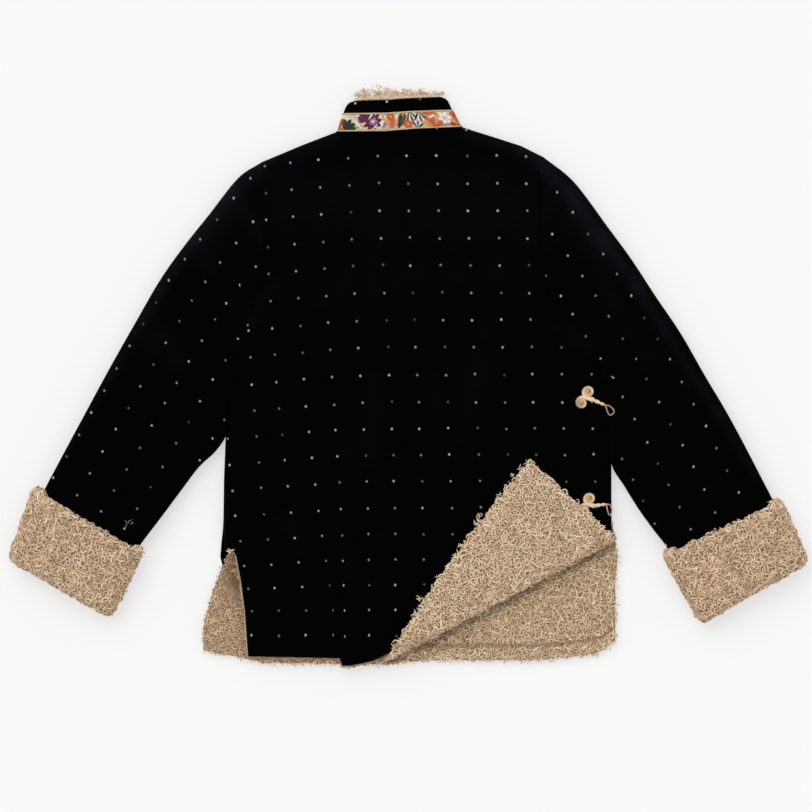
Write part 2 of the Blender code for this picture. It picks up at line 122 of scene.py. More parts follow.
key_data = bpy.data.lights.new("key_light", "SUN")
key_data.energy = KEY_LIGHT["strength"]
key_data.angle = math.radians(KEY_LIGHT["angle"])
key = in_scene(bpy.data.objects.new("key_light", key_data))
key.rotation_euler = [math.radians(-KEY_LIGHT["tilt"][0]), math.radians(KEY_LIGHT["tilt"][1]), 0]


def plain_material(name, colour, roughness=0.9, **finish):
    """A Principled material, its shader's inputs and its node tree; `finish` sets more inputs."""
    material = bpy.data.materials.new(name)
    material.use_nodes = True
    shader = material.node_tree.nodes["Principled BSDF"].inputs
    for label, value in {"Base Color": (*colour, 1), "Roughness": roughness, **finish}.items():
        shader[label.replace("_", " ")].default_value = value
    return material, shader, material.node_tree


def bmesh_to_mesh(bm, name, material):
    """A smooth mesh with one material from a bmesh, which is freed."""
    mesh = bpy.data.meshes.new(name)
    bm.to_mesh(mesh)
    bm.free()
    mesh.shade_smooth()
    mesh.materials.append(material)
    return mesh


table_material, _, _ = plain_material("table_white", (0.45, 0.45, 0.45), Specular_IOR_Level=0.0,
                                      Emission_Color=(1, 1, 1, 1), Emission_Strength=0.50)
bm = bmesh.new()
bmesh.ops.create_grid(bm, x_segments=1, y_segments=1, size=TABLE_SIZE / 2)
bmesh.ops.translate(bm, vec=(0, 0, -TABLE_DROP), verts=bm.verts)
table = in_scene(bpy.data.objects.new("table", bmesh_to_mesh(bm, "table", table_material)))
print("a surround, a broad sun and the table")

# %% [markdown]
# Materials are built from nodes. Each helper adds one node and gives back the socket that the
# next step needs, so that a material reads as a recipe: a noise, a change of range, a mix of two
# colours.


# %% Helpers for nodes
FLOAT, VECTOR, COLOUR = "NodeSocketFloat", "NodeSocketVector", "NodeSocketColor"


def add_node(tree, kind, values=None, **settings):
    """One node with its settings; `values` sets or links its inputs by name or number."""
    node = tree.nodes.new(kind)
    for name, value in settings.items():
        setattr(node, name, value)
    for key, value in (values or {}).items():
        if isinstance(value, bpy.types.NodeSocket):
            tree.links.new(value, node.inputs[key])
        else:
            node.inputs[key].default_value = value
    return node


def sums(tree, operation, *values, clamp=False):
    """The result of one sum on numbers."""
    node = add_node(tree, "ShaderNodeMath", dict(enumerate(values)), operation=operation)
    node.use_clamp = clamp
    return node.outputs[0]


def vectors(tree, operation, *values, out=0):
    """The result of one sum on vectors."""
    return add_node(tree, "ShaderNodeVectorMath", dict(enumerate(values)),
                    operation=operation).outputs[out]


def noise(tree, place, scale, detail, **more):
    """Soft noise over a place."""
    return add_node(tree, "ShaderNodeTexNoise", {"Vector": place, "Scale": scale, "Detail": detail,
                                                 **more}).outputs["Fac"]


def remap(tree, value, given=(0.0, 1.0), wanted=(0.0, 1.0), **settings):
    """Carries a value from one range to another, and stops it at the ends."""
    return add_node(tree, "ShaderNodeMapRange", {
        "Value": value, "From Min": given[0], "From Max": given[1], "To Min": wanted[0],
        "To Max": wanted[1]}, **settings).outputs[0]


def blend(tree, share, low, high):
    """A mix of two colours."""
    return add_node(tree, "ShaderNodeMix", {"Factor": share, "A": low, "B": high},
                    data_type="RGBA").outputs["Result"]


def attribute(tree, name, out="Fac"):
    """A number or colour that the mesh itself carries."""
    return add_node(tree, "ShaderNodeAttribute", attribute_name=name).outputs[out]


def place_on(tree, coordinates):
    """Where a point lies: in the room ("Object"), or on one of the piece's UV maps."""
    if coordinates == "Object":
        return add_node(tree, "ShaderNodeTexCoord").outputs["Object"]
    return add_node(tree, "ShaderNodeUVMap", uv_map=coordinates).outputs["UV"]


def bump(tree, shader, height, strength, distance):
    """Feeds a height to the shader's normal."""
    node = add_node(tree, "ShaderNodeBump", {"Height": height, "Strength": strength,
                                             "Distance": distance})
    tree.links.new(node.outputs["Normal"], shader["Normal"])


def new_group(name, inputs, outputs, kind="ShaderNodeTree"):
    """An empty node group: its tree, the sockets that it is given, and those that it fills."""
    tree = bpy.data.node_groups.new(name, kind)
    for label, socket_type, *value in inputs:
        socket = tree.interface.new_socket(label, in_out="INPUT", socket_type=socket_type)
        if value:
            socket.default_value = value[0]
    for label, socket_type in outputs:
        tree.interface.new_socket(label, in_out="OUTPUT", socket_type=socket_type)
    given, out = tree.nodes.new("NodeGroupInput"), tree.nodes.new("NodeGroupOutput")
    return tree, given.outputs[:len(inputs)], out.inputs


print("helpers for nodes are ready")

# %% [markdown]
# Several finishes share an effect, and each such effect is a node group built once: pin dots on
# the woven grid, the felted nap of the wool, and the mottled tone of fleece.


# %% Node groups
def pin_dot_group():
    """Marks a small round fleck in the middle of each cell of the woven grid."""
    tree, (grid, cell, radius, threads), out = new_group(
        "pin_dots", [("Grid", VECTOR), ("Cell", VECTOR, (37.0, 32.0, 0)), ("Radius", FLOAT, 1.3),
                     ("Threads", VECTOR)], [("Dot", FLOAT)])
    middle, reach, fray = (0.5, 0.5, 0), (1.6, 1.6, 0), 1.1
    chance = add_node(tree, "ShaderNodeTexWhiteNoise", {"Vector": vectors(tree, "FLOOR", grid)},
                      noise_dimensions="2D").outputs
    centred = vectors(tree, "SUBTRACT", vectors(tree, "FRACTION", grid), middle)
    sized = vectors(tree, "MULTIPLY", centred, cell)
    shaken = vectors(tree, "SUBTRACT", chance["Color"], middle)
    moved = vectors(tree, "MULTIPLY_ADD", shaken, reach, sized)
    away = vectors(tree, "LENGTH", vectors(tree, "MULTIPLY", moved, (1, 1, 0)), out="Value")
    rough_edge = sums(tree, "MULTIPLY_ADD", noise(tree, threads, 1400.0, 2.0), 0.9, away)
    mask = remap(tree, rough_edge, (radius, sums(tree, "ADD", radius, fray)), (1.0, 0.0),
                 interpolation_type="SMOOTHSTEP")
    strength = remap(tree, chance["Value"], wanted=(0.12, 1.0))
    tree.links.new(sums(tree, "MULTIPLY", mask, strength), out["Dot"])
    return tree


def nap_group():
    """Short matted fibres: a height for the bump, and a faint mottling of the colour."""
    tree, (place, fineness), out = new_group(
        "wool_nap", [("Place", VECTOR), ("Fibre", FLOAT, 1600.0)],
        [("Height", FLOAT), ("Mottle", FLOAT)])
    fibre = noise(tree, place, fineness, 4.0, Roughness=0.65, Distortion=0.4)
    felt, cloud = noise(tree, place, 260.0, 3.0), noise(tree, place, 38.0, 3.0)
    tree.links.new(sums(tree, "MULTIPLY_ADD", felt, 0.8, fibre), out["Height"])
    tree.links.new(sums(tree, "MULTIPLY", cloud, fibre), out["Mottle"])
    return tree


def fleece_group():
    """Fleece colour, with painted shade: darker low in the pile; each curl a little different."""
    tree, (place, lift, tone, pile_shade, body, tip), out = new_group(
        "fleece_tone",
        [("Place", VECTOR), ("Lift", FLOAT, 0.5), ("Tone", FLOAT, 0.5), ("Deep", COLOUR),
         ("Body", COLOUR), ("Tip", COLOUR)], [("Colour", COLOUR), ("Height", FLOAT)])
    uneven = sums(tree, "MULTIPLY_ADD", noise(tree, place, 60.0, 2.0), 0.5, tone)
    upper = blend(tree, remap(tree, uneven, (0.2, 1.25)), body, tip)
    # painted shade: low lift mixes towards the dark pile-shade colour
    whole = blend(tree, remap(tree, lift, (0.1, 0.75)), pile_shade, upper)
    tree.links.new(whole, out["Colour"])
    tree.links.new(noise(tree, place, 1500.0, 3.0), out["Height"])
    return tree


PIN_DOTS, NAP_FIBRES, FLEECE_TONE = pin_dot_group(), nap_group(), fleece_group()
print("node groups:", PIN_DOTS.name, NAP_FIBRES.name, FLEECE_TONE.name)

# %% [markdown]
# The wool is a dense melton, so it scatters light and hardly reflects any. Its dots are lighter
# yarn woven in, which is why they are found from the cloth's own UV map "pins" and not from the
# room: the grid bends with the sleeve and is swallowed by the tuck, as the real one is. Painted
# sheen lightens the cloth to a cold dark grey where light would catch the shoulders, the sleeves'
# outer edges and the folds; a painted-sheen attribute on each piece says where.

# %% Wool
WOOL_DEEP, WOOL_TOP = (0.0003, 0.0003, 0.0004, 1), (0.0016, 0.0016, 0.0019, 1)
# the colour of the painted sheen, and the colour of the dot yarn
WOOL_PAINTED_SHEEN, DOT_YARN = (0.0058, 0.0073, 0.0092, 1), (0.40, 0.40, 0.39, 1)

WOOL_BLACK, shader, tree = plain_material(
    "wool_black_dotted", (0.002, 0.002, 0.002), 0.8, Specular_IOR_Level=0.01, Sheen_Weight=0.014,
    Sheen_Roughness=0.38, Sheen_Tint=(0.8, 0.9, 1.0, 1))
place = place_on(tree, "Object")
nap_and_painted_sheen = add_node(tree, "ShaderNodeGroup", {}, node_tree=NAP_FIBRES)
tree.links.new(place, nap_and_painted_sheen.inputs["Place"])
mottle = nap_and_painted_sheen.outputs["Mottle"]
cloth = blend(tree, mottle, WOOL_DEEP, WOOL_TOP)
uneven = remap(tree, mottle, (0.0, 0.5), (0.45, 1.25))
# painted sheen: the attribute lightens the cloth towards a cold grey highlight, broken up by the
# mottle
painted_sheen_share = sums(tree, "MULTIPLY", attribute(tree, "nap_and_painted_sheen"), uneven, clamp=True)
with_painted_sheen = blend(tree, painted_sheen_share, cloth, WOOL_PAINTED_SHEEN)
pins = add_node(tree, "ShaderNodeGroup", {}, node_tree=PIN_DOTS)
tree.links.new(place_on(tree, "pins"), pins.inputs["Grid"])
tree.links.new(place, pins.inputs["Threads"])
tree.links.new(blend(tree, pins.outputs["Dot"], with_painted_sheen, DOT_YARN), shader["Base Color"])
bump(tree, shader, nap_and_painted_sheen.outputs["Height"], 0.5, 0.0006)
print("wool:", WOOL_BLACK.name)

# %% [markdown]
# Curly fleece is two finishes: a matted ground, seen only between the curls, and the curls. A
# curl carries two numbers of its own: "lift", how high a point stands in the pile, and "tone",
# one tint for the whole lock. Low lift is painted shade: the colour darkens down in the pile.

# %% Fleece
# the first colour is the painted shade deep in the pile
FLEECE_COLOURS = {"Deep": (0.22, 0.125, 0.062, 1), "Body": (0.63, 0.42, 0.255, 1),
                  "Tip": (1.0, 0.79, 0.555, 1)}


def fleece_material(name, ground=None):
    """Fleece; `ground` is the lift of a matted backing, in its lumps and between them."""
    material, shader, tree = plain_material(name, (0.4, 0.28, 0.18), 0.95, Specular_IOR_Level=0.15,
                                            Sheen_Weight=0.25, Sheen_Roughness=0.5)
    place = place_on(tree, "Object")
    tone = add_node(tree, "ShaderNodeGroup", {"Place": place, **FLEECE_COLOURS},
                    node_tree=FLEECE_TONE)
    if ground:
        # painted shade: the backing is darker between its lumps
        lumps = add_node(tree, "ShaderNodeTexVoronoi", {"Vector": place, "Scale": 210.0})
        matted = remap(tree, lumps.outputs["Distance"], (0.0, 0.9), ground)
        tree.links.new(matted, tone.inputs["Lift"])
    else:
        for label in ("lift", "tone"):
            tree.links.new(attribute(tree, label), tone.inputs[label.capitalize()])
    tree.links.new(tone.outputs["Colour"], shader["Base Color"])
    bump(tree, shader, tone.outputs["Height"], 0.35, 0.0006)
    return material


# painted shade: the ground, seen only down between the curls, is given a low lift; the collar band
# a high one
FLEECE_GROUND = fleece_material("fleece_ground", (0.42, 0.12))
FLEECE_BAND = fleece_material("fleece_band", (1.1, 0.7))
FLEECE_CURLS = fleece_material("fleece_curls")
print("fleece: ground, band and curls")

# %% [markdown]
# The collar ribbon has a woven cream and gold ground with raised flowers in floss silk. The satin
# cord of the frogs and the gold edging share one recipe: fine slanting threads with a soft gloss.


# %% Ribbon, floss and cord
def threads_of(name, colour, coordinates, threads, slant, roughness, gloss, wander):
    """A material crossed by slanting threads: its parts, its place socket and its wave."""
    parts = plain_material(name, colour, roughness, Specular_IOR_Level=gloss)
    tree = parts[2]
    place = place_on(tree, coordinates)
    turned = add_node(tree, "ShaderNodeMapping", {"Vector": place,
                                                  "Rotation": (0, 0, math.radians(slant))})
    wave = add_node(tree, "ShaderNodeTexWave", {"Vector": turned.outputs[0], "Scale": threads,
                                                "Distortion": wander, "Detail": 1.0})
    return (*parts, place, wave.outputs["Fac"])


def thread_material(name, dark, light, coordinates, threads, slant, roughness, gloss):
    """Smooth threads side by side, lit along their backs."""
    material, shader, tree, place, wave = threads_of(name, light, coordinates, threads, slant,
                                                     roughness, gloss, 1.5)
    share = sums(tree, "MULTIPLY_ADD", wave, 0.6, noise(tree, place, threads / 12, 2.0))
    mixed = blend(tree, remap(tree, share, (0.35, 1.15)), (*dark, 1), (*light, 1))
    tree.links.new(mixed, shader["Base Color"])
    bump(tree, shader, wave, 0.4, 0.0003)
    return material


def dyed_material(name, coordinates, threads, slant, roughness, gloss, relief):
    """Threads that take their colour from the piece's own attribute "dye"."""
    material, shader, tree, _, wave = threads_of(name, (0.6, 0.4, 0.3), coordinates, threads, slant,
                                                 roughness, gloss, 0.6)
    lit = add_node(tree, "ShaderNodeVectorMath", {
        0: attribute(tree, "dye", "Color"), "Scale": remap(tree, wave, wanted=(0.72, 1.1))},
        operation="SCALE")
    tree.links.new(lit.outputs[0], shader["Base Color"])
    bump(tree, shader, wave, 0.5, relief)
    return material


CORD_SATIN = dyed_material("cord_satin", "along", 16.0, 38.0, 0.4, 0.5, 0.00006)
FLOSS = dyed_material("floss_silk", "stitches", 3.0, 0.0, 0.45, 0.35, 0.0002)
EDGING_FLEECE, EDGING_GOLD, BROCADE_GROUND = (thread_material(*row) for row in (
    # name, dark, light, coordinates, threads, slant, roughness, gloss
    ("edging_tan", (0.3, 0.19, 0.11), (0.6, 0.43, 0.28), "along", 9.0, 60.0, 0.85, 0.2),
    ("edging_gold", (0.42, 0.27, 0.1), (0.8, 0.6, 0.33), "along", 46.0, 30.0, 0.42, 0.5),
    ("brocade_cream", (0.52, 0.4, 0.22), (0.85, 0.78, 0.6), "Object", 700.0, 12.0, 0.5, 0.35)))
print("materials:", len(bpy.data.materials))

# %% [markdown]
# Every sheet of the jacket starts as one grid of points. A function says where each point of the
# cloth lies, row by row, and a grid from bmesh is moved there. The two helpers after it close a
# tube along its seam and hand the finished mesh to the frame.


# %% Sheets and pieces
def grid_sheet(points, maps=None, close=False, flip=False, outward=False):
    """A bmesh of the (row, column) array of points in millimetres, with its UV maps by name."""
    up, across = points.shape[0] - 1, points.shape[1] - 1
    bm = bmesh.new()
    bmesh.ops.create_grid(bm, x_segments=across, y_segments=up, size=1)
    bm.verts.ensure_lookup_table()
    for label, values in (maps or {}).items():
        layer = bm.loops.layers.uv.new(label)
        flat = values.reshape(-1, 2)
        for face in bm.faces:
            for loop in face.loops:
                loop[layer].uv = flat[loop.vert.index]
    for vert, place in zip(bm.verts, points.reshape(-1, 3)):
        vert.co = place
    if close:
        bmesh.ops.remove_doubles(bm, verts=bm.verts, dist=1e-4)
    if flip:
        bmesh.ops.reverse_faces(bm, faces=bm.faces)
    if outward:
        bmesh.ops.recalc_face_normals(bm, faces=bm.faces)
    return bm


def ride_and_slot(piece):
    """Puts a piece on the one body."""
    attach(piece, ROOT)
    return piece


def make_piece(bm, name, material, nodes=(), wall=0.0, clamp=0.0):
    """Hands a mesh in millimetres to the frame as one finished piece in metres."""
    bmesh.ops.scale(bm, vec=(MM, MM, MM), verts=bm.verts)
    piece = in_scene(bpy.data.objects.new(name, bmesh_to_mesh(bm, name, material)))
    if wall:
        solid = piece.modifiers.new("wall", "SOLIDIFY")
        solid.thickness = wall * MM
        solid.offset = -1.0
        solid.thickness_clamp = clamp
        solid.use_even_offset = False
    ride_and_slot(piece)
    if nodes:
        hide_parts(*nodes)
    return piece


def reading(table, at):
    """Reads a two-column table as a line through its rows, at one place or many."""
    columns = np.array(table, float).T
    return np.interp(at, columns[0], columns[1])


def ease(start, end, at):
    """Goes softly from 0 to 1 between two places."""
    share = np.clip((np.asarray(at, float) - start) / (end - start), 0, 1)
    return share * share * (3 - 2 * share)


print("one recipe for sheets of cloth, one for finished pieces")

# %% [markdown]
# The jacket is a flattened tube. A layer is named by its distance from a level middle plane:
# fleece next to it, then wool. These walls, outlines and folds are the ones that the solids were
# cut to.

# %% Walls and outlines
SLIT = 0.15
FLEECE_OUTER = 6.15
HALF = 8.45
CUFF_INNER = 8.75
CUFF_HALF = 17.75
WOOL_WALL = 1.7
LINING_WALL = 3.4
PILE = 2.3

ARMPIT_Y = -31.0
VENT_Y = -213.0
CLOSED_RIGHT_Y = -155.0
NECK = (-89.6, 66.9)
SHOULDER_LINE = (
    # x, y
    (-183, 268), (-133, 289), (-90, 305.5), (-27, 306), (6, 309), (67, 311.5),
    (107, 299), (141, 288), (168, 274.5),
)
ARMHOLE_LEFT = (
    # y, x
    (ARMPIT_Y, -227), (14, -216), (52, -203), (95, -192), (134, -181), (170, -181),
    (210, -183), (268, -183),
)
ARMHOLE_RIGHT = (
    # y, x
    (ARMPIT_Y, 253), (5, 243), (32, 221), (67, 186), (114, 174), (128, 171), (158, 166),
    (258, 166), (275, 168),
)
BACK = {
    "hem": ((-200, -350.5), (-88, -352.7), (-86, -352.7), (-83, -361.5), (-74, -362), (-58, -359),
            (-42, -355), (278, -345)),
    "left": ((-350, -200.5), (-294, -204.5), (-256, -209.5), (-221, -216), (VENT_Y, -231),
             (-130, -231), (-81, -229)) + ARMHOLE_LEFT,
    "right": ((-345, 278), (-192, 254), (-111, 254)) + ARMHOLE_RIGHT,
}
FRONT = {
    "hem": ((-257, -343), (-241, -347), (-222, -349.5), (-203, -354), (-180, -359), (-30, -361),
            (22, -355.5), (153, -355.5), (197, -352.5), (234, -347.5), (245, -342.5), (260, -330)),
    "left": ((-343, -257), (-315, -257), (-294, -252), (-272, -246), (-251, -238),
             (-237, -234.5), (VENT_Y, -232), (-130, -231), (-81, -229)) + ARMHOLE_LEFT,
    "right": ((-330, 259), (-259, 259), (-228, 262), (-209, 259), (-187, 254),
              (-111, 254)) + ARMHOLE_RIGHT,
}
print("outlines of the back and the front:", ", ".join(BACK))

# %% [markdown]
# Cloth that has been worn does not lie flat. The broad folds below are the solids' own. The
# creases are this cloth's: soft troughs and ridges placed where the photograph shows them, at
# the armholes, beside the tuck and along the sleeves, and like ones on the hidden front.

# %% Folds and creases
FOLDS = (
    # x0,  y0,  x1,   y1, width, height
    (-20, 230, -20, -280, 170, 2.5),
    (-250, 150, -370, -100, 70, 3.0),
    (245, 140, 370, -100, 70, 3.0),
    (137, 182, 137, -55, 28, -1.8),
    (-140, 200, -150, 60, 26, -1.5),
    (-229, 165, -225, 60, 24, -1.6),
    (200, 150, 225, 40, 24, -1.8),
)
CREASES = {
    # x0,  y0,  x1,   y1, width, height
    "back": (
        (-205, 236, -190, 188, 6, -1.4), (-196, 240, -181, 192, 5, 0.9),
        (-198, 72, -182, 58, 5, -1.2), (-176, 150, -140, 60, 13, 1.1),
        (-26, -176, -22, -262, 4, 0.9), (-20, -170, -17, -255, 4, -0.9),
        (118, 178, 126, -20, 15, 1.2), (158, 120, 176, 10, 11, 0.9),
        (-215, -6, -150, -52, 12, -1.3), (-222, -30, -140, -96, 11, 0.9),
        (238, -2, 170, -60, 12, -1.3), (245, -40, 160, -104, 10, 0.9),
        (-70, 296, -62, 240, 9, -0.7), (48, 300, 58, 236, 9, -0.7), (-10, 298, 2, 262, 12, 0.7),
        (-160, -180, -122, -330, 16, 0.9), (40, -60, 92, -210, 20, 0.9),
        (-190, -120, -176, -300, 9, -0.8),
    ),
    "front": (
        (-180, 120, -60, 20, 14, 0.8), (160, 150, 60, -10, 15, 0.8),
        (-120, -60, -150, -300, 12, 0.7), (90, -80, 130, -300, 14, 0.8),
        (-20, 240, 40, 90, 11, 0.6), (-215, -10, -110, -80, 10, 0.7),
        (236, -10, 130, -90, 10, 0.7),
    ),
    "sleeve": (
        (-262, 150, -322, 20, 13, -1.6), (-238, 120, -292, 0, 10, 1.3),
        (-300, 60, -352, -70, 12, 1.4), (-330, 60, -388, -62, 9, -1.1),
        (-232, 60, -268, -44, 8, -1.3), (-352, -40, -392, -118, 10, -0.9),
        (-318, -60, -352, -150, 9, 1.0), (-234, 210, -262, 170, 9, 0.9),
        (262, 140, 322, 10, 13, -1.6), (236, 110, 288, -10, 10, 1.3),
        (300, 50, 350, -80, 12, 1.4), (332, 44, 388, -70, 9, -1.1), (250, 40, 276, -50, 8, -1.3),
        (352, -50, 396, -128, 10, -0.9), (318, -80, 350, -166, 9, 1.0),
        (222, 214, 250, 168, 9, 0.9),
    ),
    "cuff": (
        (-462, -222, -424, -196, 5, -1.6), (-428, -250, -398, -276, 4, -1.4),
        (-380, -210, -352, -236, 6, -1.0), (392, -232, 430, -262, 5, -1.5),
        (430, -180, 462, -206, 5, -1.2), (352, -250, 380, -282, 6, -1.0),
    ),
}
# painted highlight: each stroke lightens the wool where light would catch it
PAINTED_SHEEN_STROKES = (
    # x0,  y0,  x1,   y1, width, strength: the outer edges of shoulders and sleeves
    (-92, 298, -186, 263, 8, 0.3), (-188, 262, -228, 226, 12, 0.62),
    (-228, 226, -268, 172, 11, 0.55), (-268, 172, -312, 106, 8, 0.5),
    (-312, 106, -372, 2, 7, 0.4), (-372, 2, -436, -100, 6, 0.25), (70, 303, 140, 284, 7, 0.34),
    (140, 284, 166, 269, 9, 0.45), (172, 262, 206, 224, 11, 0.62), (206, 224, 246, 168, 11, 0.62),
    (246, 168, 286, 112, 10, 0.58), (286, 112, 322, 56, 8, 0.5), (322, 56, 388, -48, 7, 0.4),
    (388, -48, 432, -122, 6, 0.28),
    # beside the armholes
    (-222, 215, -250, 170, 16, 0.2), (-262, 160, -250, 135, 12, 0.15),
    (-325, 75, -318, 35, 14, 0.15), (-300, 48, -290, 20, 12, 0.13),
    (-222, 234, -186, 176, 9, 0.18), (-198, 66, -172, 110, 9, 0.16),
    (205, 210, 222, 165, 15, 0.2), (236, 165, 255, 95, 12, 0.15), (195, 60, 220, 35, 10, 0.13),
    (262, 75, 300, 20, 14, 0.1), (326, 26, 345, -6, 10, 0.1),
    # across the back, and down it in soft streaks
    (-140, 225, 150, 215, 48, 0.16), (-110, 120, 120, 110, 50, 0.08),
    (-88, 30, -82, -20, 14, 0.08), (-44, -5, -50, -95, 15, 0.12), (84, -5, 70, -70, 22, 0.08),
    (30, -5, 30, -110, 12, 0.08), (-78, -85, -76, -250, 7, 0.09),
    (-150, -190, -140, -215, 15, 0.09), (92, 50, 84, 0, 19, 0.07),
    (-160, -40, -150, -120, 13, 0.08), (-34, -200, -30, -320, 8, 0.08),
)
TUCK = (-86.0, -83.0)
TUCK_HEIGHT = 4.5
TUCK_TOP_Y = (-30.0, -230.0)
TUCK_FADE_X = -5.0
FOLDS_END_Y = (262, 300)
FINE_WIDTH = 25


def lifted(table, x, y, fading=True):
    """The sum of a table's ridges and troughs at many places; fine ones fade at their ends."""
    height = np.zeros_like(x)
    for x0, y0, x1, y1, width, tall in table:
        along_x, along_y = x1 - x0, y1 - y0
        share = ((x - x0) * along_x + (y - y0) * along_y) / (along_x ** 2 + along_y ** 2)
        share = np.clip(share, 0, 1)
        away = (x - x0 - along_x * share) ** 2 + (y - y0 - along_y * share) ** 2
        fade = 1.0
        if fading and width < FINE_WIDTH:
            fade = 0.35 + 0.65 * np.sin(np.pi * np.clip(share, 0.08, 0.92))
        height += tall * fade * np.exp(-away / width ** 2)
    return height


def rise(x, y):
    """How far the broad folds lift the cloth; they end before the shoulders."""
    return np.maximum(lifted(FOLDS, x, y), 0) * (1 - ease(*FOLDS_END_Y, y))


def rise_at(x, y):
    """The same at a single place."""
    return float(rise(np.array([x]), np.array([y]))[0])


def tuck_of_wool(x, y):
    """The tuck's sharp step, which grows towards the hem."""
    step = np.clip((x - TUCK[0]) / (TUCK[1] - TUCK[0]), 0, 1)
    return TUCK_HEIGHT * ease(*TUCK_TOP_Y, y) * step * (1 - ease(TUCK[1], TUCK_FADE_X, x))


def tuck_of_fleece(x, y):
    """The same step, softer, in the lining under it."""
    step = ease(TUCK[1] - 1, TUCK[1] + 24, x)
    return ((TUCK_HEIGHT - 1.2) * ease(*TUCK_TOP_Y, y) * step
            * (1 - ease(TUCK[1] + 18, TUCK_FADE_X, x)))


def paint_sheen(bm):
    """Paints sheen on a piece of wool: a painted highlight, on the side that faces up."""
    nap_and_painted_sheen = bm.verts.layers.float.new("nap_and_painted_sheen")
    x, y, z = np.array([vert.co for vert in bm.verts]).T
    strength = lifted(PAINTED_SHEEN_STROKES, x, y, fading=False) * (z > HALF - 1)
    for vert, value in zip(bm.verts, strength):
        vert[nap_and_painted_sheen] = float(value)


print("folds and creases:", len(FOLDS) + sum(len(table) for table in CREASES.values()))

# %% [markdown]
# A panel is mapped from its cut to where it lies. Its rows run from the hem to the armpit, on to
# the shoulder and over it; its columns run from side to side, with one on each edge of the tuck
# and the neck. Edges that are sewn or folded shut curl down to the middle plane, and the others
# stay square. The same places are also kept as if unrolled flat, because the dots were woven
# before the cloth curled.


# %% The panel
FIND_STEPS = 5
EDGE_STEPS = 4
LOW_ROWS, HIGH_ROWS = 56, 56
SIDE_COLUMNS, MIDDLE_COLUMNS = 24, 30
SEAM_DIP = 1.1
SEAM_WIDTH = 3.0
# below the seam's end, an open side stays close to the seam for this far
STAY_LEFT, STAY_RIGHT = 15, 30
TUCK_SPAN = 14
QUARTER = math.pi / 2


def panel_rows(share):
    """(band, level, angle) of each row; `share` thins them for a hidden panel."""
    low, high = round(LOW_ROWS * share), round(HIGH_ROWS * share)
    rows = [("low", step / low, QUARTER) for step in range(low)]
    rows += [("high", step / high, QUARTER) for step in range(high)]
    return rows + [("top", 1.0, QUARTER * (1 - step / EDGE_STEPS))
                   for step in range(EDGE_STEPS + 1)]


def panel_points(cut, reach, offset, side, share=1.0):
    """The panel's points in millimetres, how far each follows the folds, and its place unrolled."""
    sides, middle = round(SIDE_COLUMNS * share), round(MIDDLE_COLUMNS * share)
    steps = np.arange(EDGE_STEPS + 1) / EDGE_STEPS
    points, follows, unrolled = [], [], []
    for band, level, top_angle in panel_rows(share):
        def height(x, rounding):
            """The row's y at each x."""
            shoulder = reading(SHOULDER_LINE, x)
            if band == "low":
                low = reading(cut["hem"], x)
                return low + level * (ARMPIT_Y - low)
            if band == "high":
                return ARMPIT_Y + level * (shoulder - HALF - ARMPIT_Y)
            return shoulder - rounding

        curled = HALF - offset * math.cos(top_angle)
        ends = []
        for label in ("left", "right"):
            x = cut[label][len(cut[label]) // 2][1]
            for _ in range(FIND_STEPS):
                y = float(height(x, curled))
                x = float(reading(cut[label], y))
            ends.append([x, y])
        shut = [band == "low" and ends[0][1] > VENT_Y - 1,
                band == "low" and ends[1][1] > CLOSED_RIGHT_Y]
        if band == "low" and not shut[0]:
            ends[0][0] -= reach[0] if ends[0][1] > VENT_Y - STAY_LEFT else reach[1]
        if band == "low" and not shut[1]:
            ends[1][0] += reach[0] if ends[1][1] > CLOSED_RIGHT_Y - STAY_RIGHT else reach[1]
        left, right = ends[0][0], ends[1][0]
        up = level if band != "low" else 0.0
        tuck_left = TUCK[0] + up * (NECK[0] - TUCK[0])
        tuck_right = TUCK[1] + up * (NECK[0] + TUCK_SPAN - TUCK[1])
        inner = np.concatenate([
            np.linspace(left + HALF, tuck_left, sides, endpoint=False),
            np.linspace(tuck_left, tuck_right, 3, endpoint=False),
            np.linspace(tuck_right, NECK[1], middle, endpoint=False),
            np.linspace(NECK[1], right - HALF, sides + 1)])
        edges, weights, lengths = [], [], []
        for closed, edge, way in ((shut[0], left, 1), (shut[1], right, -1)):
            curl = unrolled_curl = SLIT + (HALF - SLIT) * steps
            if closed:
                curl = HALF - offset * np.cos(steps * QUARTER)
                unrolled_curl = HALF - offset * (1 - steps) * QUARTER
            edges.append(edge + way * curl)
            lengths.append(edge + way * unrolled_curl)
            weights.append(np.sin(steps * QUARTER) if closed else np.ones_like(steps))
        x = np.concatenate([edges[0][:-1], inner, edges[1][:-1][::-1]])
        x_unrolled = np.concatenate([lengths[0][:-1], inner, lengths[1][:-1][::-1]])
        weight = np.concatenate([weights[0][:-1], np.ones_like(inner), weights[1][:-1][::-1]])
        neck = (x >= NECK[0] - 0.01) & (x <= NECK[1] + 0.01)
        flat_top = SLIT + (HALF - SLIT) * (top_angle / QUARTER)
        y = height(x, np.where(neck, flat_top, curled))
        if band == "low" and level == 0:
            y = y - reach[1]
        y_unrolled = y
        if band == "top":
            y_unrolled = reading(SHOULDER_LINE, x) - HALF + offset * (QUARTER - top_angle)
        unrolled.append(np.stack([x_unrolled, np.where(neck, y, y_unrolled)], axis=1))
        weight = np.where(neck, weight, np.minimum(weight, math.sin(top_angle)))
        dip = np.zeros_like(x)
        if band != "low":
            dip = SEAM_DIP * (np.exp(-((x - left) / SEAM_WIDTH) ** 2)
                              + np.exp(-((right - x) / SEAM_WIDTH) ** 2)) * math.sin(top_angle)
        z = HALF + side * (np.maximum(offset * weight, SLIT) - dip)
        points.append(np.stack([x, y, z], axis=1))
        follows.append(weight)
    return np.array(points), np.array(follows), np.array(unrolled)


print("rows of a full panel:", len(panel_rows(1.0)))

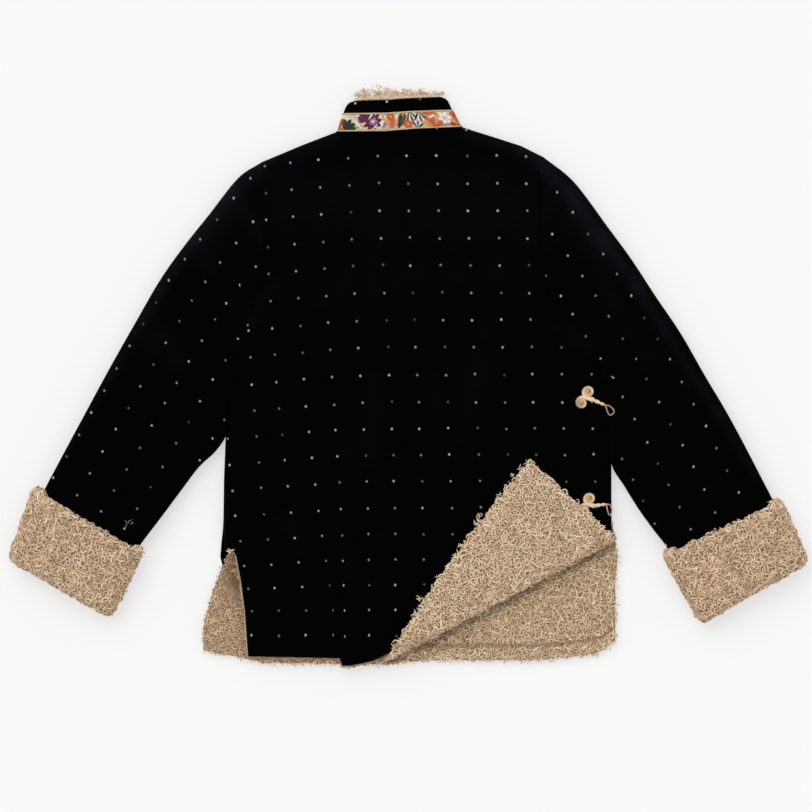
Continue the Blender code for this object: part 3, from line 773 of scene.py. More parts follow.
# %% [markdown]
# The corner that is turned up rolls over the crease round one level axis, wool against wool, so
# the fleece is on the outside of the roll. Strips cut along the crease keep the roll round.

# %% The turned-up corner
CREASE_START = Vector((-42.0, -355.0))
CREASE_END = Vector((248.0, -200.0))
FOLD_NEUTRAL = 5.0
FOLD_AXIS = 2 * HALF + 1.7
FOLD_STRIPS = 10
along_crease = (CREASE_END - CREASE_START).normalized()
past_crease = Vector((along_crease.y, -along_crease.x))


def turn_corner(bm):
    """Cuts strips along the crease and rolls everything past it up and over."""
    for step in range(FOLD_STRIPS + 1):
        past = FOLD_NEUTRAL * math.pi * step / FOLD_STRIPS
        bmesh.ops.bisect_plane(bm, geom=bm.verts[:] + bm.edges[:] + bm.faces[:], dist=1e-4,
                               plane_co=CREASE_START.to_3d() + past_crease.to_3d() * past,
                               plane_no=past_crease.to_3d())
    for vert in bm.verts:
        point = vert.co
        past = (point.xy - CREASE_START).dot(past_crease)
        if past <= 0:
            continue
        depth = FOLD_AXIS - point.z
        angle = min(past / FOLD_NEUTRAL, math.pi)
        landed = depth * math.sin(angle) - max(past - math.pi * FOLD_NEUTRAL, 0.0)
        moved = point.xy + past_crease * (landed - past)
        lift = rise_at(moved.x, moved.y) * float(ease(0, math.pi, angle))
        vert.co = (moved.x, moved.y, FOLD_AXIS - depth * math.cos(angle) + lift)


print("crease:", round((CREASE_END - CREASE_START).length), "mm long")

# %% [markdown]
# The dots sit on the loom's grid. On the back the columns lean and close up towards the hem, and
# the tuck hides part of one cell. On a sleeve the grid follows the fold at its outer edge. Each
# function turns a place on the laid cloth into a place on that grid, with a dot in the middle of
# each cell.

# %% The woven grid
PIN_HEIGHTS = (270.0, 132.0, -35.0, -168.0, -292.0)
PIN_COLUMNS = (
    # column, x at each of the five heights
    (-7, (-258, -244, -231, -217, -196)), (-6, (-212, -204, -193.5, -182, -162.5)),
    (-5, (-180, -175.5, -163, -147, -128)), (-4, (-148, -140.5, -128, -112, -93.5)),
    (-3, (-112, -105, -93, -84, -80.5)), (-2, (-75.6, -69.5, -57, -50.5, -49)),
    (-1, (-38.5, -32, -21, -17, -15.6)), (0, (-1.9, 3, 13, 18, 19.5)),
    (3, (110.5, 114.5, 120.5, 127, 130)), (4, (147, 150, 156.5, 162, 165)),
    (6, (222, 225, 229.5, 234, 238)), (7, (258, 262, 266, 270, 274)),
)
PIN_ROWS = (
    # y, row
    (-366.0, 19.0), (-324.0, 18.0), (-197.5, 14.0), (-32.5, 9.0), (275.0, 0.0), (330.0, -1.6),
)
PIN_DROOP = (
    # y, how far a row sags at the left side
    (-330, 0), (-300, 1), (-235, 8), (-140, 10), (-35, 12), (130, 14), (266, 14),
)
DROOP_FROM, DROOP_SPAN = -30.0, 170.0
CELL_WIDTH, CELL_HEIGHT = 37, 33


def pins_of_body(x, y):
    """Places on the laid body turned into cells of the grid."""
    lines = [np.interp(y, PIN_HEIGHTS[::-1], places[::-1]) for _, places in PIN_COLUMNS]
    numbers = [number for number, _ in PIN_COLUMNS]
    u = np.empty_like(x)
    for k in np.ndindex(x.shape):
        places = [line[k] for line in lines]
        beyond = min(x[k] - places[0], 0) + max(x[k] - places[-1], 0)
        u[k] = np.interp(x[k], places, numbers) + beyond / CELL_WIDTH
    away = np.clip((DROOP_FROM - x) / DROOP_SPAN, 0, 1.3)
    level = y + reading(PIN_DROOP, y) * away ** 1.4
    rows = np.array(PIN_ROWS).T
    return np.stack([u + 0.5, np.interp(level, rows[0], rows[1]) + 0.5], axis=-1)


print(f"one cell of the grid: {CELL_WIDTH} mm across, {CELL_HEIGHT} mm up")

# %% [markdown]
# The back is one panel of wool, and the lining under it one panel of fleece. Both are turned over
# the same crease. The lining's visible face is its inner one, so its sheet lies on the side that
# faces the middle plane, a pile's depth inside the solid, and the curls fill the rest.


# %% Back cloth and back lining
points, follows, unrolled = panel_points(BACK, (0.0, 0.0), HALF, 1)
x, y = points[..., 0], points[..., 1]
points[..., 2] += follows * (rise(x, y) + tuck_of_wool(x, y) + lifted(CREASES["back"], x, y))
bm = grid_sheet(points, {"pins": pins_of_body(unrolled[..., 0], unrolled[..., 1])})
turn_corner(bm)
paint_sheen(bm)
back_cloth = make_piece(bm, "back_cloth", WOOL_BLACK, ["back_panel"], WOOL_WALL)

HEM_SPREAD = 6.0
points, follows, _ = panel_points(BACK, (-2.5, 2.0), PILE, 1)
x, y = points[..., 0], points[..., 1]
points[..., 2] += follows * (rise(x, y) + tuck_of_fleece(x, y)) * 0.6
near_hem = np.clip(1 - (y - reading(BACK["hem"], x)) / 40, 0, 1)
points[..., 1] -= HEM_SPREAD * near_hem * np.sin(math.pi * np.clip((x + 30) / 290, 0, 1))
bm = grid_sheet(points, flip=True)
turn_corner(bm)
back_fleece = make_piece(bm, "back_fleece", FLEECE_GROUND, ["back_lining"],
                         LINING_WALL)
print("back cloth:", len(back_cloth.data.polygons), "faces")

# %% [markdown]
# The two fronts lie face down under the back. The overlap crosses from the neck to the far
# armpit, and the piece behind it fills the other shoulder, so one panel is cut in two along that
# line, with the slit that the solids keep. Their lining is one panel of fleece, face up.

# %% Front cloths and front lining
# the groove along the lining's hem: how far above the hem, how deep, and from which x on
HEM_GROOVE, GROOVE_DEPTH, GROOVE_FROM = 18, 1.4, 10
OPENING_START = Vector((-11.5, 306.0))
OPENING_END = Vector((253.0, ARMPIT_Y))
opening = (OPENING_END - OPENING_START).normalized()
opening_side = Vector((opening.y, -opening.x))

VENT_SPREAD, VENT_INSET = 2.8, 8.0
NEAR_EDGE = 30

points, follows, unrolled = panel_points(FRONT, (0.0, -2.5), HALF, -1, 0.6)
x, y = points[..., 0], points[..., 1]
points[..., 2] += follows * np.clip(lifted(CREASES["front"], x, y), 0, 2) * 0.5
pins = pins_of_body(-unrolled[..., 0], unrolled[..., 1])
beside_vent = np.exp(-((y - VENT_Y + 6) / 22) ** 2) * np.clip(1 - (x + 232) / NEAR_EDGE, 0, 1)
points[..., 0] -= VENT_SPREAD * beside_vent
for name, way in (("front_overlap", 1), ("front_under", -1)):
    bm = grid_sheet(points, {"pins": pins}, flip=True)
    normal = opening_side.to_3d() * -way
    bmesh.ops.bisect_plane(bm, geom=bm.verts[:] + bm.edges[:] + bm.faces[:], dist=1e-4,
                           plane_co=OPENING_START.to_3d() - normal * SLIT, plane_no=normal,
                           clear_outer=True)
    make_piece(bm, f"{name}_cloth", WOOL_BLACK, [name], 1.5)

points, _, _ = panel_points(FRONT, (-2.5, 0.0), PILE, -1, 0.8)
near_edge = np.clip(1 - (points[..., 0] - points[:, :1, 0]) / NEAR_EDGE, 0, 1)
beside_vent = ease(VENT_Y - 38, VENT_Y - 4, points[..., 1]) * (points[..., 1] < VENT_Y)
points[..., 0] += VENT_INSET * near_edge * beside_vent
above_hem = points[..., 1] - reading(FRONT["hem"], points[..., 0])
hem_roll = np.exp(-((above_hem - HEM_GROOVE) / 3.5) ** 2)
points[..., 2] -= GROOVE_DEPTH * hem_roll * (points[..., 0] > GROOVE_FROM)
front_fleece = make_piece(grid_sheet(points), "front_fleece", FLEECE_GROUND,
                          ["front_lining"], LINING_WALL)
print("front fleece:", len(front_fleece.data.polygons), "faces")

# %% [markdown]
# A sleeve is a flattened tube. Across it, a line of points runs from the outer fold to the inner
# one; such lines at the armhole, down the arm and inside the cuff are joined by a smooth curve
# through all of them, and each becomes a ring: over the top, round the fold and back underneath.

# %% Rings and sleeves
SLEEVE_LEFT = (
    # upper x, upper y, lower x, lower y, share of the rise to the cuff
    (-213.5, 247.5, -225.8, -37, 0.0), (-250, 201.5, -226.4, -52, 0.01),
    (-281, 162.5, -227.6, -73, 0.05), (-311, 120, -241, -94, 0.15),
    (-341, 68, -262, -114, 0.35), (-372, 13, -284, -143, 0.6), (-406, -50, -310, -178, 0.9),
)
SLEEVE_RIGHT = (
    (207, 243, 251.8, -37, 0.0), (249.5, 186.5, 252.0, -55, 0.01), (279.5, 145.5, 252.4, -80, 0.05),
    (309.5, 99.5, 254.4, -112, 0.15), (340.5, 53.5, 270, -138, 0.35), (370.5, 1, 288, -167, 0.6),
    (405.5, -59, 306, -192, 0.9),
)
CORNERS = ("top outer", "top inner", "end outer", "end inner", "sides")
CUFF_LEFT, CUFF_RIGHT = (dict(zip(CORNERS, np.array(rows))) for rows in (
    ((-469, -136), (-329, -218), (-501, -229), (-371, -303), (16, 8)),
    ((466, -152), (315, -221), (501, -232), (364, -310), (11, 10))))
HANDS = {"left": (SLEEVE_LEFT, ARMHOLE_LEFT, CUFF_LEFT, -1),
         "right": (SLEEVE_RIGHT, ARMHOLE_RIGHT, CUFF_RIGHT, 1)}
SLEEVE_END = 12.3
LINE_POINTS = 21
# the sleeve reaches a little way into the body near the armpit
ARMPIT_REACH, ARMPIT_SPAN = 2.5, 42


def unit(vector):
    """The same direction with a length of 1."""
    return vector / np.linalg.norm(vector)


def cuff_line(corners, share):
    """The two ends of the cuff's outline, `share` of the way from its end to its top."""
    return [corners["end " + side] * (1 - share) + corners["top " + side] * share
            for side in ("outer", "inner")]


def inside_cuff(corners, share):
    """The two ends of the sleeve inside the cuff."""
    outer, inner = cuff_line(corners, share)
    across = unit(inner - outer)
    return outer + across * corners["sides"][0], inner - across * corners["sides"][1]


def armhole_line(armhole, out):
    """Points down the armhole from the shoulder to the armpit, one slit outside the body."""
    line = []
    for level in np.linspace(1, 0, LINE_POINTS):
        x = armhole[len(armhole) // 2][1]
        for _ in range(FIND_STEPS):
            y = ARMPIT_Y + level * (float(reading(SHOULDER_LINE, x)) - ARMPIT_Y)
            x = float(reading(armhole, y))
        line.append((x + out * 2 * SLIT, y))
    return np.array(line)


def sleeve_lines(table, armhole, corners, out):
    """Lines across the sleeve, from the armhole to its end, and the height of each one's middle."""
    first = armhole_line(armhole, out)
    first[:, 0] -= out * ARMPIT_REACH * np.exp(-((first[:, 1] - ARMPIT_Y) / ARMPIT_SPAN) ** 2)
    chord = first[-1] - first[0]
    shares = (first - first[0]) @ chord / (chord @ chord)
    bows = first - first[0] - shares[:, None] * chord
    rest = [(np.array(row[:2]), np.array(row[2:4]), row[4]) for row in table]
    length = np.linalg.norm(corners["top outer"] - corners["end outer"])
    rest += [(*inside_cuff(corners, share), 1.0)
             for share in (1.06, 0.93, 0.5, SLEEVE_END / length)]
    lines, middles = [first], [HALF]
    even = np.linspace(0, 1, LINE_POINTS)
    for number, (upper, lower, climb) in enumerate(rest, 1):
        keep = max(1 - number / (len(table) - 1), 0.0) ** 2.5
        share = shares * keep + even * (1 - keep)
        lines.append(upper + share[:, None] * (lower - upper) + bows * keep)
        middles.append(HALF + climb * (CUFF_HALF - HALF))
    return np.array(lines), np.array(middles)


def smooth_through(values, steps):
    """Fills in between the rows of an array with a Catmull-Rom curve, `steps` for each gap."""
    padded = np.concatenate([2 * values[:1] - values[1:2], values, 2 * values[-1:] - values[-2:-1]])
    rows = []
    for k in range(1, len(padded) - 2):
        p0, p1, p2, p3 = padded[k - 1:k + 3]
        for t in np.arange(steps) / steps:
            rows.append(0.5 * (2 * p1 + (p2 - p0) * t + (2 * p0 - 5 * p1 + 4 * p2 - p3) * t * t
                               + (3 * p1 - p0 - 3 * p2 + p3) * t ** 3))
    rows.append(values[-1])
    return np.array(rows)


def ring_round(line, edge, offset, middle, across=26, turn=5):
    """One closed ring; also says how far round each point is, and how much it follows the folds."""
    steps = np.linalg.norm(np.diff(line, axis=0), axis=1)
    run = np.concatenate([[0], np.cumsum(steps)])
    inner = np.linspace(edge, run[-1] - edge, across + 1)
    top = np.stack([np.interp(inner, run, line[:, k]) for k in (0, 1)], axis=1)
    first = (line[1] - line[0]) / steps[0]
    last = (line[-2] - line[-1]) / steps[-1]
    angles = np.linspace(0, QUARTER, turn + 1)[:-1]
    begin = line[0] + first * (edge - offset * np.cos(angles))[:, None]
    end = line[-1] + last * (edge - offset * np.cos(angles))[:, None]
    plan = np.concatenate([begin, top, end[::-1]])
    weight = np.concatenate([np.sin(angles), np.ones(across + 1), np.sin(angles)[::-1]])
    over = np.column_stack([plan, middle + weight * offset])
    under = np.column_stack([plan, middle - weight * offset])[::-1]
    ring = np.concatenate([over, under[1:]])
    follow = np.concatenate([weight, np.zeros(len(weight) - 1)])
    return ring, follow


SEAM_TUCK = (
    # out from the armhole, how much thinner the sleeve is there: it goes in under the body's edge
    (-3.5, 3.0), (-1.2, 1.8), (0.0, 0.9),
)


# where along the sleeve the folds and the creases end; how near the armpit its cloth is bunched
FOLDS_END, CREASES_END, BUNCHED = (0.35, 0.65), (0.72, 0.8), (30, 70)
# the creases underneath are shallower, and lie this far from those on top
UNDER_SHIFT = (9, -14)


def tube_points(lines, middles, offset, edge, tucks=SEAM_TUCK):
    """Rings along the whole sleeve, lifted by the folds until these fade before the cuff."""
    away = np.array([-1.0 if lines[-1][0][0] < lines[0][0][0] else 1.0, 0.0])
    armpit = lines[0][-1]
    tucked = [lines[0] + away * out for out, _ in tucks]
    thinner = [thin for _, thin in tucks] + [0.0] * (len(lines) - 1)
    lines = np.concatenate([tucked, lines[1:]])
    middles = np.concatenate([[middles[0]] * len(tucks), middles[1:]])
    rings = []
    for number, (line, middle) in enumerate(zip(lines, middles)):
        ring, follow = ring_round(line, edge, offset, middle)
        ring[:, 2] = middle + (ring[:, 2] - middle) * (1 - thinner[number] / offset)
        along = number / len(lines)
        keep = 1 - ease(*FOLDS_END, along)
        soft = 1 - ease(*CREASES_END, along)
        bumps = rise(ring[:, 0], ring[:, 1]) * keep
        bumps += lifted(CREASES["sleeve"], ring[:, 0], ring[:, 1]) * soft
        ring[:, 2] += follow * bumps
        shifted = ring[:, 0] + UNDER_SHIFT[0], ring[:, 1] + UNDER_SHIFT[1]
        under = np.abs(lifted(CREASES["sleeve"], *shifted)) * 0.5 * soft
        ring[:, 2] += (follow == 0) * under * np.clip((middle - ring[:, 2]) / offset, 0, 1)
        bunched = WOOL_WALL * (1 - ease(*BUNCHED, np.hypot(*(ring[:, :2] - armpit).T)))
        ring[:, 2] = np.maximum(ring[:, 2], bunched)
        rings.append(ring)
    return np.array(rings)


PIN_SLEEVE = {
    # what one unit of (1, u, v, uv, vv, uu) adds to the count of cells, with u and v in decimetres
    "left": {"across": (-0.338, 2.648, 0.046, 0.027, -0.002, -0.012),
             "down": (-0.609, -0.696, 2.989, 0.084, 0.024, -0.009), "fold end": (-455, -135)},
    "right": {"across": (-0.678, 2.710, 0.011, 0.008, -0.019, -0.019),
              "down": (-0.742, -0.815, 3.087, -0.038, 0.024, 0.314), "fold end": (456, -150)},
}


DECIMETRE = 100
FAR = 1e9


def pins_of_sleeve(x, y, table, hand, below):
    """Distance in from the outer fold (u) and down along it (v), turned into cells of the grid."""
    grid = PIN_SLEEVE[hand]
    folds = [np.array(row[:2], float) for row in table] + [np.array(grid["fold end"], float)]
    best = np.full(x.shape, FAR)
    u, v = np.zeros_like(x), np.zeros_like(x)
    run = 0.0
    for k, (a, b) in enumerate(zip(folds, folds[1:])):
        step = np.linalg.norm(b - a)
        way = (b - a) / step
        along = (x - a[0]) * way[0] + (y - a[1]) * way[1]
        low, high = (-FAR if k == 0 else 0.0), (FAR if k == len(folds) - 2 else step)
        near = np.clip(along, low, high)
        away = np.hypot(x - a[0] - way[0] * near, y - a[1] - way[1] * near)
        closer = away < best
        best = np.where(closer, away, best)
        u = np.where(closer, away, u)
        v = np.where(closer, run + near, v)
        run += step
    u, v = u * below / DECIMETRE, v / DECIMETRE
    terms = np.stack([np.ones_like(u), u, v, u * v, v * v, u * u], axis=-1)
    return np.stack([terms @ grid["across"] + 0.5, terms @ grid["down"] + 0.5], axis=-1)


SLEEVE_STEPS = 7
NO_TUCK = ((0.0, 0.0),)
sleeves, linings = {}, {}
for hand, (table, armhole, corners, out) in HANDS.items():
    lines, middles = sleeve_lines(table, armhole, corners, out)
    lines, middles = smooth_through(lines, SLEEVE_STEPS), smooth_through(middles, SLEEVE_STEPS)
    rings = tube_points(lines, middles, HALF, HALF)
    level = np.concatenate([[middles[0]] * (len(SEAM_TUCK) - 1), middles])
    below = np.where(rings[..., 2] < level[:, None] - 0.01, -1.0, 1.0)
    pins = pins_of_sleeve(rings[..., 0], rings[..., 1], table, hand, below)
    bm = grid_sheet(rings, {"pins": pins}, close=True, flip=hand == "right", outward=True)
    paint_sheen(bm)
    sleeves[hand] = make_piece(bm, f"sleeve_{hand}_cloth", WOOL_BLACK,
                               [f"sleeve_{hand}"], WOOL_WALL, clamp=1.0)
    rings = tube_points(lines[4::2], middles[4::2], FLEECE_OUTER - 0.6, HALF + 4, NO_TUCK)
    bm = grid_sheet(rings, close=True, outward=True)
    linings[hand] = make_piece(bm, f"sleeve_{hand}_fleece", FLEECE_GROUND,
                               [f"sleeve_lining_{hand}"], 4.0, clamp=1.0)
print("sleeve cloth:", len(sleeves["left"].data.polygons), "faces each")

# %% [markdown]
# A cuff is the lining turned back over the sleeve's end. Its profile runs from inside the end,
# round it, along the outside and in under the turned edge. The ground lies a pile's depth inside
# the solid.

# %% Cuffs
CUFF_PROFILE = (
    # from the end (share of the length), distance from the middle plane, share of the outer outline
    (0.125, SLIT + 0.6, 0.0), (0.06, 1.2, 0.0), (0.03, 3.4, 0.0), (0.012, 7.0, 0.35),
    (0.018, 11.0, 0.7), (0.05, 14.2, 1.0), (0.11, 15.6, 1.0), (0.2, 15.8, 1.0), (0.35, 15.8, 1.0),
    (0.5, 15.8, 1.0), (0.65, 15.7, 1.0), (0.8, 15.6, 1.0), (0.9, 15.2, 1.0), (0.965, 13.0, 1.0),
    (0.98, 11.5, 0.7), (0.955, 9.4, 0.0), (0.5, CUFF_INNER + 0.4, 0.0),
)


def lumpy(bm, size, height, seed):
    """Moves each point of a fleece ground along its normal by a gentle noise."""
    bm.normal_update()
    moves = []
    for vert in bm.verts:
        place = vert.co / size
        wave = (math.sin(place.x * 2.1 + seed) * math.sin(place.y * 2.3 + seed * 1.7)
                + 0.5 * math.sin(place.x * 5.3 - place.y * 4.1 + seed * 2.9))
        moves.append(vert.normal * (wave * height))
    for vert, move in zip(bm.verts, moves):
        vert.co += move


CUFF_ACROSS, CUFF_DEPTH = 30, 98
TURNED_EDGE_SAG = 5.8
SCALLOP = {"count": 13, "depth": 1.6}
cuffs = {}
for hand, corners in (("left", CUFF_LEFT), ("right", CUFF_RIGHT)):
    rings = []
    for share, offset, fullness in smooth_through(np.array(CUFF_PROFILE), 2):
        wide, narrow = cuff_line(corners, share), inside_cuff(corners, share)
        ends = [a * (1 - fullness) + b * fullness for a, b in zip(narrow, wide)]
        down = (corners["end outer"] - corners["top outer"]) / CUFF_DEPTH
        place = np.linspace(0, 1, CUFF_ACROSS + 1)
        line = np.linspace(ends[0], ends[1], CUFF_ACROSS + 1)
        sag = TURNED_EDGE_SAG * ease(0, 0.14, place) * (1 - ease(0.93, 1.0, place))
        sag += SCALLOP["depth"] * np.sin(place * SCALLOP["count"] * 2 * math.pi + np.sin(place * 9))
        line += (sag * ease(0.6, 0.97, share))[:, None] * down
        edge = HALF + (CUFF_HALF - HALF) * fullness
        ring, follow = ring_round(line, edge, max(offset, SLIT), CUFF_HALF, CUFF_ACROSS, 6)
        ring[:, 2] += follow * lifted(CREASES["cuff"], ring[:, 0], ring[:, 1]) * fullness
        rings.append(ring)
    bm = grid_sheet(np.array(rings), close=True, outward=True)
    lumpy(bm, 11.0, 0.5, 1.0 if hand == "left" else 4.0)
    cuffs[hand] = make_piece(bm, f"cuff_{hand}_fleece", FLEECE_GROUND,
                             [f"cuff_{hand}"])
print("cuff ground:", len(cuffs["left"].data.polygons), "faces each")

# %% [markdown]
# The stand collar is a band of wool round the neck, open at the front, which is the underside
# here. The ribbon is sewn over its lower half. Inside it the fleece stands up past the top edge
# as a soft rim.

# %% Collar
COLLAR_LEVELS = (
    # left x, left y, right x, right y
    (-89.6, 305.6, 66.9, 311.6), (-83, 328.5, 56, 333), (-77.5, 340, 50, 345), (-70, 344, 43, 349),
)
RIM_TOP = (
    # x, y
    (-72, 350), (-58, 357), (-39, 364.6), (-22, 358.5), (18, 358), (36, 355), (45, 350),
)
RIBBON_INNER = HALF - 1.0
COLLAR_OUTER = RIBBON_INNER - 0.3
COLLAR_FLEECE = COLLAR_OUTER - 2.3
RIM_FOOT = 350.0
RIM_STEPS = (
    # share of the way to the rim's top, distance from the middle plane
    (0.0, 4.2), (0.12, 4.6), (0.24, 4.0), (0.32, 2.4), (0.35, 0.6),
)
COLLAR_PIN, COLLAR_CELL = (-65.9, 341.3), (39.7, 33.0)


def collar_line(level):
    """Points along the collar at one level, over the body's own neck points."""
    x_left, y_left, x_right, y_right = level
    bottom = COLLAR_LEVELS[0]
    xs = np.linspace(NECK[0], NECK[1], 25)
    share = (xs - bottom[0]) / (bottom[2] - bottom[0])
    bow = reading(SHOULDER_LINE, xs) - (bottom[1] + share * (bottom[3] - bottom[1]))
    flatter = 1 - (y_left - bottom[1]) / 60
    return np.stack([x_left + share * (x_right - x_left),
                     y_left + share * (y_right - y_left) + bow * flatter + SLIT], axis=1)


def collar_rings(levels, offsets, rims=None):
    """Rings of the collar, each one starting at the front opening underneath."""
    rings = []
    for k, (level, offset) in enumerate(zip(levels, offsets)):
        line = collar_line(level)
        if rims is not None:
            reach = np.maximum(reading(RIM_TOP, line[:, 0]), RIM_FOOT)
            line[:, 1] += rims[k] * (reach - line[:, 1])
        ring, _ = ring_round(line, HALF, offset, HALF, across=40, turn=6)
        ring = ring[:-1]
        under = np.where(ring[:, 2] < HALF - 0.01, np.abs(ring[:, 0] - OPENING_START.x), FAR)
        ring = np.roll(ring, -int(np.argmin(under)), axis=0)
        rings.append(np.concatenate([ring, ring[:1] + [[2 * SLIT, 0, 0]]]))
    return np.array(rings)


levels = smooth_through(np.array(COLLAR_LEVELS, float), 4)
rings = collar_rings(levels, np.full(len(levels), COLLAR_OUTER))
x, y = rings[..., 0] - COLLAR_PIN[0], rings[..., 1] - COLLAR_PIN[1]
pins = np.stack([x / COLLAR_CELL[0] + 0.5, (y - 0.06 * x) / COLLAR_CELL[1] + 0.5], axis=-1)
collar_cloth = make_piece(grid_sheet(rings, {"pins": pins}, outward=True), "collar_cloth",
                          WOOL_BLACK, ["collar"], WOOL_WALL)

ribbon_levels = [level for level in levels if level[1] <= COLLAR_LEVELS[1][1] + 0.01]
rings = collar_rings(ribbon_levels, np.full(len(ribbon_levels), HALF - 0.35))
ribbon = make_piece(grid_sheet(rings, outward=True), "ribbon_ground", BROCADE_GROUND,
                    ["collar_ribbon"], 0.6)

fleece_levels = list(levels) + [COLLAR_LEVELS[-1]] * len(RIM_STEPS)
offsets = [COLLAR_FLEECE - 1.0] * len(levels) + [offset for _, offset in RIM_STEPS]
swells = [0.0] * len(levels) + [swell for swell, _ in RIM_STEPS]
rings = collar_rings(fleece_levels, offsets, swells)
collar_fleece = make_piece(grid_sheet(rings, outward=True), "collar_fleece", FLEECE_BAND,
                           ["collar_lining"], 2.0)
print("collar: band, ribbon and lining")

# %% [markdown]
# Cords and curls are swept: a small ring of points is carried along a path. The path's own
# direction turns the ring, and its corners run along the UV map "along", so that threads can
# slant round a cord.


# %% Sweeping a round section
def sweep(path, radii, sides=8, up=(0, 0, 1)):
    """A bmesh tube round a path in millimetres, closed at both ends."""
    path = np.asarray(path, float)
    ahead = np.gradient(path, axis=0)
    ahead /= np.linalg.norm(ahead, axis=1)[:, None]
    aside = np.cross(ahead, np.array(up, float))
    aside /= np.maximum(np.linalg.norm(aside, axis=1), 1e-6)[:, None]
    above = np.cross(aside, ahead)
    angles = np.linspace(0, 2 * math.pi, sides + 1)
    cosine, sine = np.cos(angles)[None, :, None], np.sin(angles)[None, :, None]
    radii = np.broadcast_to(radii, len(path))
    rings = path[:, None] + radii[:, None, None] * (cosine * aside[:, None] + sine * above[:, None])
    run = np.concatenate([[0], np.cumsum(np.linalg.norm(np.diff(path, axis=0), axis=1))])
    uv = np.stack(np.broadcast_arrays(angles[None, :] / (2 * math.pi) * 0.3, run[:, None] * 0.02),
                  axis=-1)
    bm = grid_sheet(rings, {"along": uv}, close=True)
    ends = [edge for edge in bm.edges if edge.is_boundary]
    bmesh.ops.holes_fill(bm, edges=ends, sides=sides)
    bmesh.ops.recalc_face_normals(bm, faces=bm.faces)
    return bm


def join_meshes(parts):
    """One bmesh from several, which are freed."""
    whole = bmesh.new()
    for part in parts:
        mesh = bpy.data.meshes.new("part")
        part.to_mesh(mesh)
        part.free()
        whole.from_mesh(mesh)
        bpy.data.meshes.remove(mesh)
    return whole


print("one way to sweep cords, curls and edgings")

# %% [markdown]
# A frog is one length of satin cord: it winds out of a coil, runs down the stem, round the loop
# and back into the second coil, so the stem is two cords side by side.

# %% Frogs
FROG_LIFT = 0.3
CORD_COIL, CORD_STEM, CORD_LOOP = 2.15, 1.7, 0.85
COIL_PITCH = 3.9
COIL_RADIUS = 9.2
COIL_START, COIL_HEART = 1.3, 2.4
STEM_TWIST = 2.5 * math.pi
CORD_LIGHT, CORD_HEART = Vector((0.92, 0.7, 0.45)), Vector((0.66, 0.36, 0.15))
CORD_GREYISH = Vector((0.42, 0.29, 0.21))
# how far from a coil's middle its dark heart reaches, and from the stem's start its greyer end
HEART_REACH, GREYISH_FROM = (3.2, 5.6), (12, 20)
FROGS = {
    "frog_upper": {
        "coils": ((224.9, -19.9), (216.6, -33.4)), "stem": ((229.5, -29.3), (246.0, -36.6)),
        "loop": ((250.8, -37.2), (256.2, -42.0), (256.4, -46.0), (252.2, -48.9),
                 (248.9, -45.4)),
    },
    "frog_lower": {
        "coils": ((226.4, -153.5), (219.6, -167.6)), "stem": ((231.0, -162.2), (247.0, -160.3)),
        "loop": ((251.0, -160.6), (253.4, -164.0), (254.0, -170.0), (252.0, -174.0),
                 (249.4, -170.6)),
    },
}


def coil(centre, outlet):
    """A flat spiral from its middle out to the point where the cord leaves it."""
    leave = math.atan2(outlet[1] - centre[1], outlet[0] - centre[0])
    turns = (COIL_RADIUS - CORD_COIL - COIL_START) / COIL_PITCH
    spin = 1 if outlet[1] < centre[1] else -1
    share = np.linspace(0, 1, round(turns * 24) + 1)
    radius = COIL_START + COIL_PITCH * turns * share
    angle = leave - spin * 0.9 - spin * 2 * math.pi * turns * (1 - share)
    return centre + radius[:, None] * np.stack([np.cos(angle), np.sin(angle)], axis=1)


for name, shape in FROGS.items():
    start, end = (np.array(point) for point in shape["stem"])
    way = unit(end - start)
    aside = np.array((-way[1], way[0]))
    shares = np.linspace(0, 1, 9)
    sway = np.cos(shares * STEM_TWIST) * np.interp(shares, (0, 1), (1.15, 0.8))
    out_cord, back_cord = (start + shares[:, None] * (end - start) + hand * sway[:, None] * aside
                           for hand in (1, -1))
    climb = 0.9 * np.sin(shares * STEM_TWIST)
    knots = np.concatenate([out_cord, shape["loop"], back_cord[::-1]])
    first, second = (coil(centre, start) for centre in shape["coils"])
    route = np.concatenate([first, smooth_through(knots, 3), second[::-1]])
    spans = (len(first), 3 * len(shares), 3 * len(shape["loop"]), 3 * len(shares) - 2, len(second))
    stem_to_loop = np.linspace(CORD_STEM, CORD_LOOP, spans[1])
    thick = np.concatenate([
        np.full(spans[0], CORD_COIL), stem_to_loop, np.full(spans[2], CORD_LOOP),
        stem_to_loop[::-1][:spans[3]], np.full(spans[4], CORD_COIL)])
    thick = np.convolve(np.pad(thick, 2, mode="edge"), np.ones(5) / 5, mode="valid")
    lift = np.concatenate([
        np.zeros(spans[0]), np.interp(np.linspace(0, 1, spans[1]), shares, climb),
        np.zeros(spans[2]), -np.interp(np.linspace(1, 0, spans[3]), shares, climb),
        np.zeros(spans[4])])
    height = 2 * HALF + rise(route[:, 0], route[:, 1]) + FROG_LIFT + CORD_COIL + lift
    hearts = []
    for centre in shape["coils"]:
        heart = bmesh.new()
        bmesh.ops.create_uvsphere(heart, u_segments=12, v_segments=8, radius=COIL_HEART)
        level = 2 * HALF + rise_at(*centre) + FROG_LIFT + COIL_HEART * 0.72
        bmesh.ops.translate(heart, vec=(*centre, level), verts=heart.verts)
        hearts.append(heart)
    bm = join_meshes([sweep(np.column_stack([route, height]), thick, 10), *hearts])
    dye = bm.verts.layers.float_color.new("dye")
    for vert in bm.verts:
        near = min((vert.co.xy - Vector(centre)).length for centre in shape["coils"])
        inner = float(1 - ease(*HEART_REACH, near))
        far = float(ease(*GREYISH_FROM, (vert.co.xy - Vector(start)).length))
        shade = CORD_LIGHT.lerp(CORD_HEART, inner).lerp(CORD_GREYISH, far)
        vert[dye] = (*shade, 1)
    make_piece(bm, f"{name}_cord", CORD_SATIN, [name])
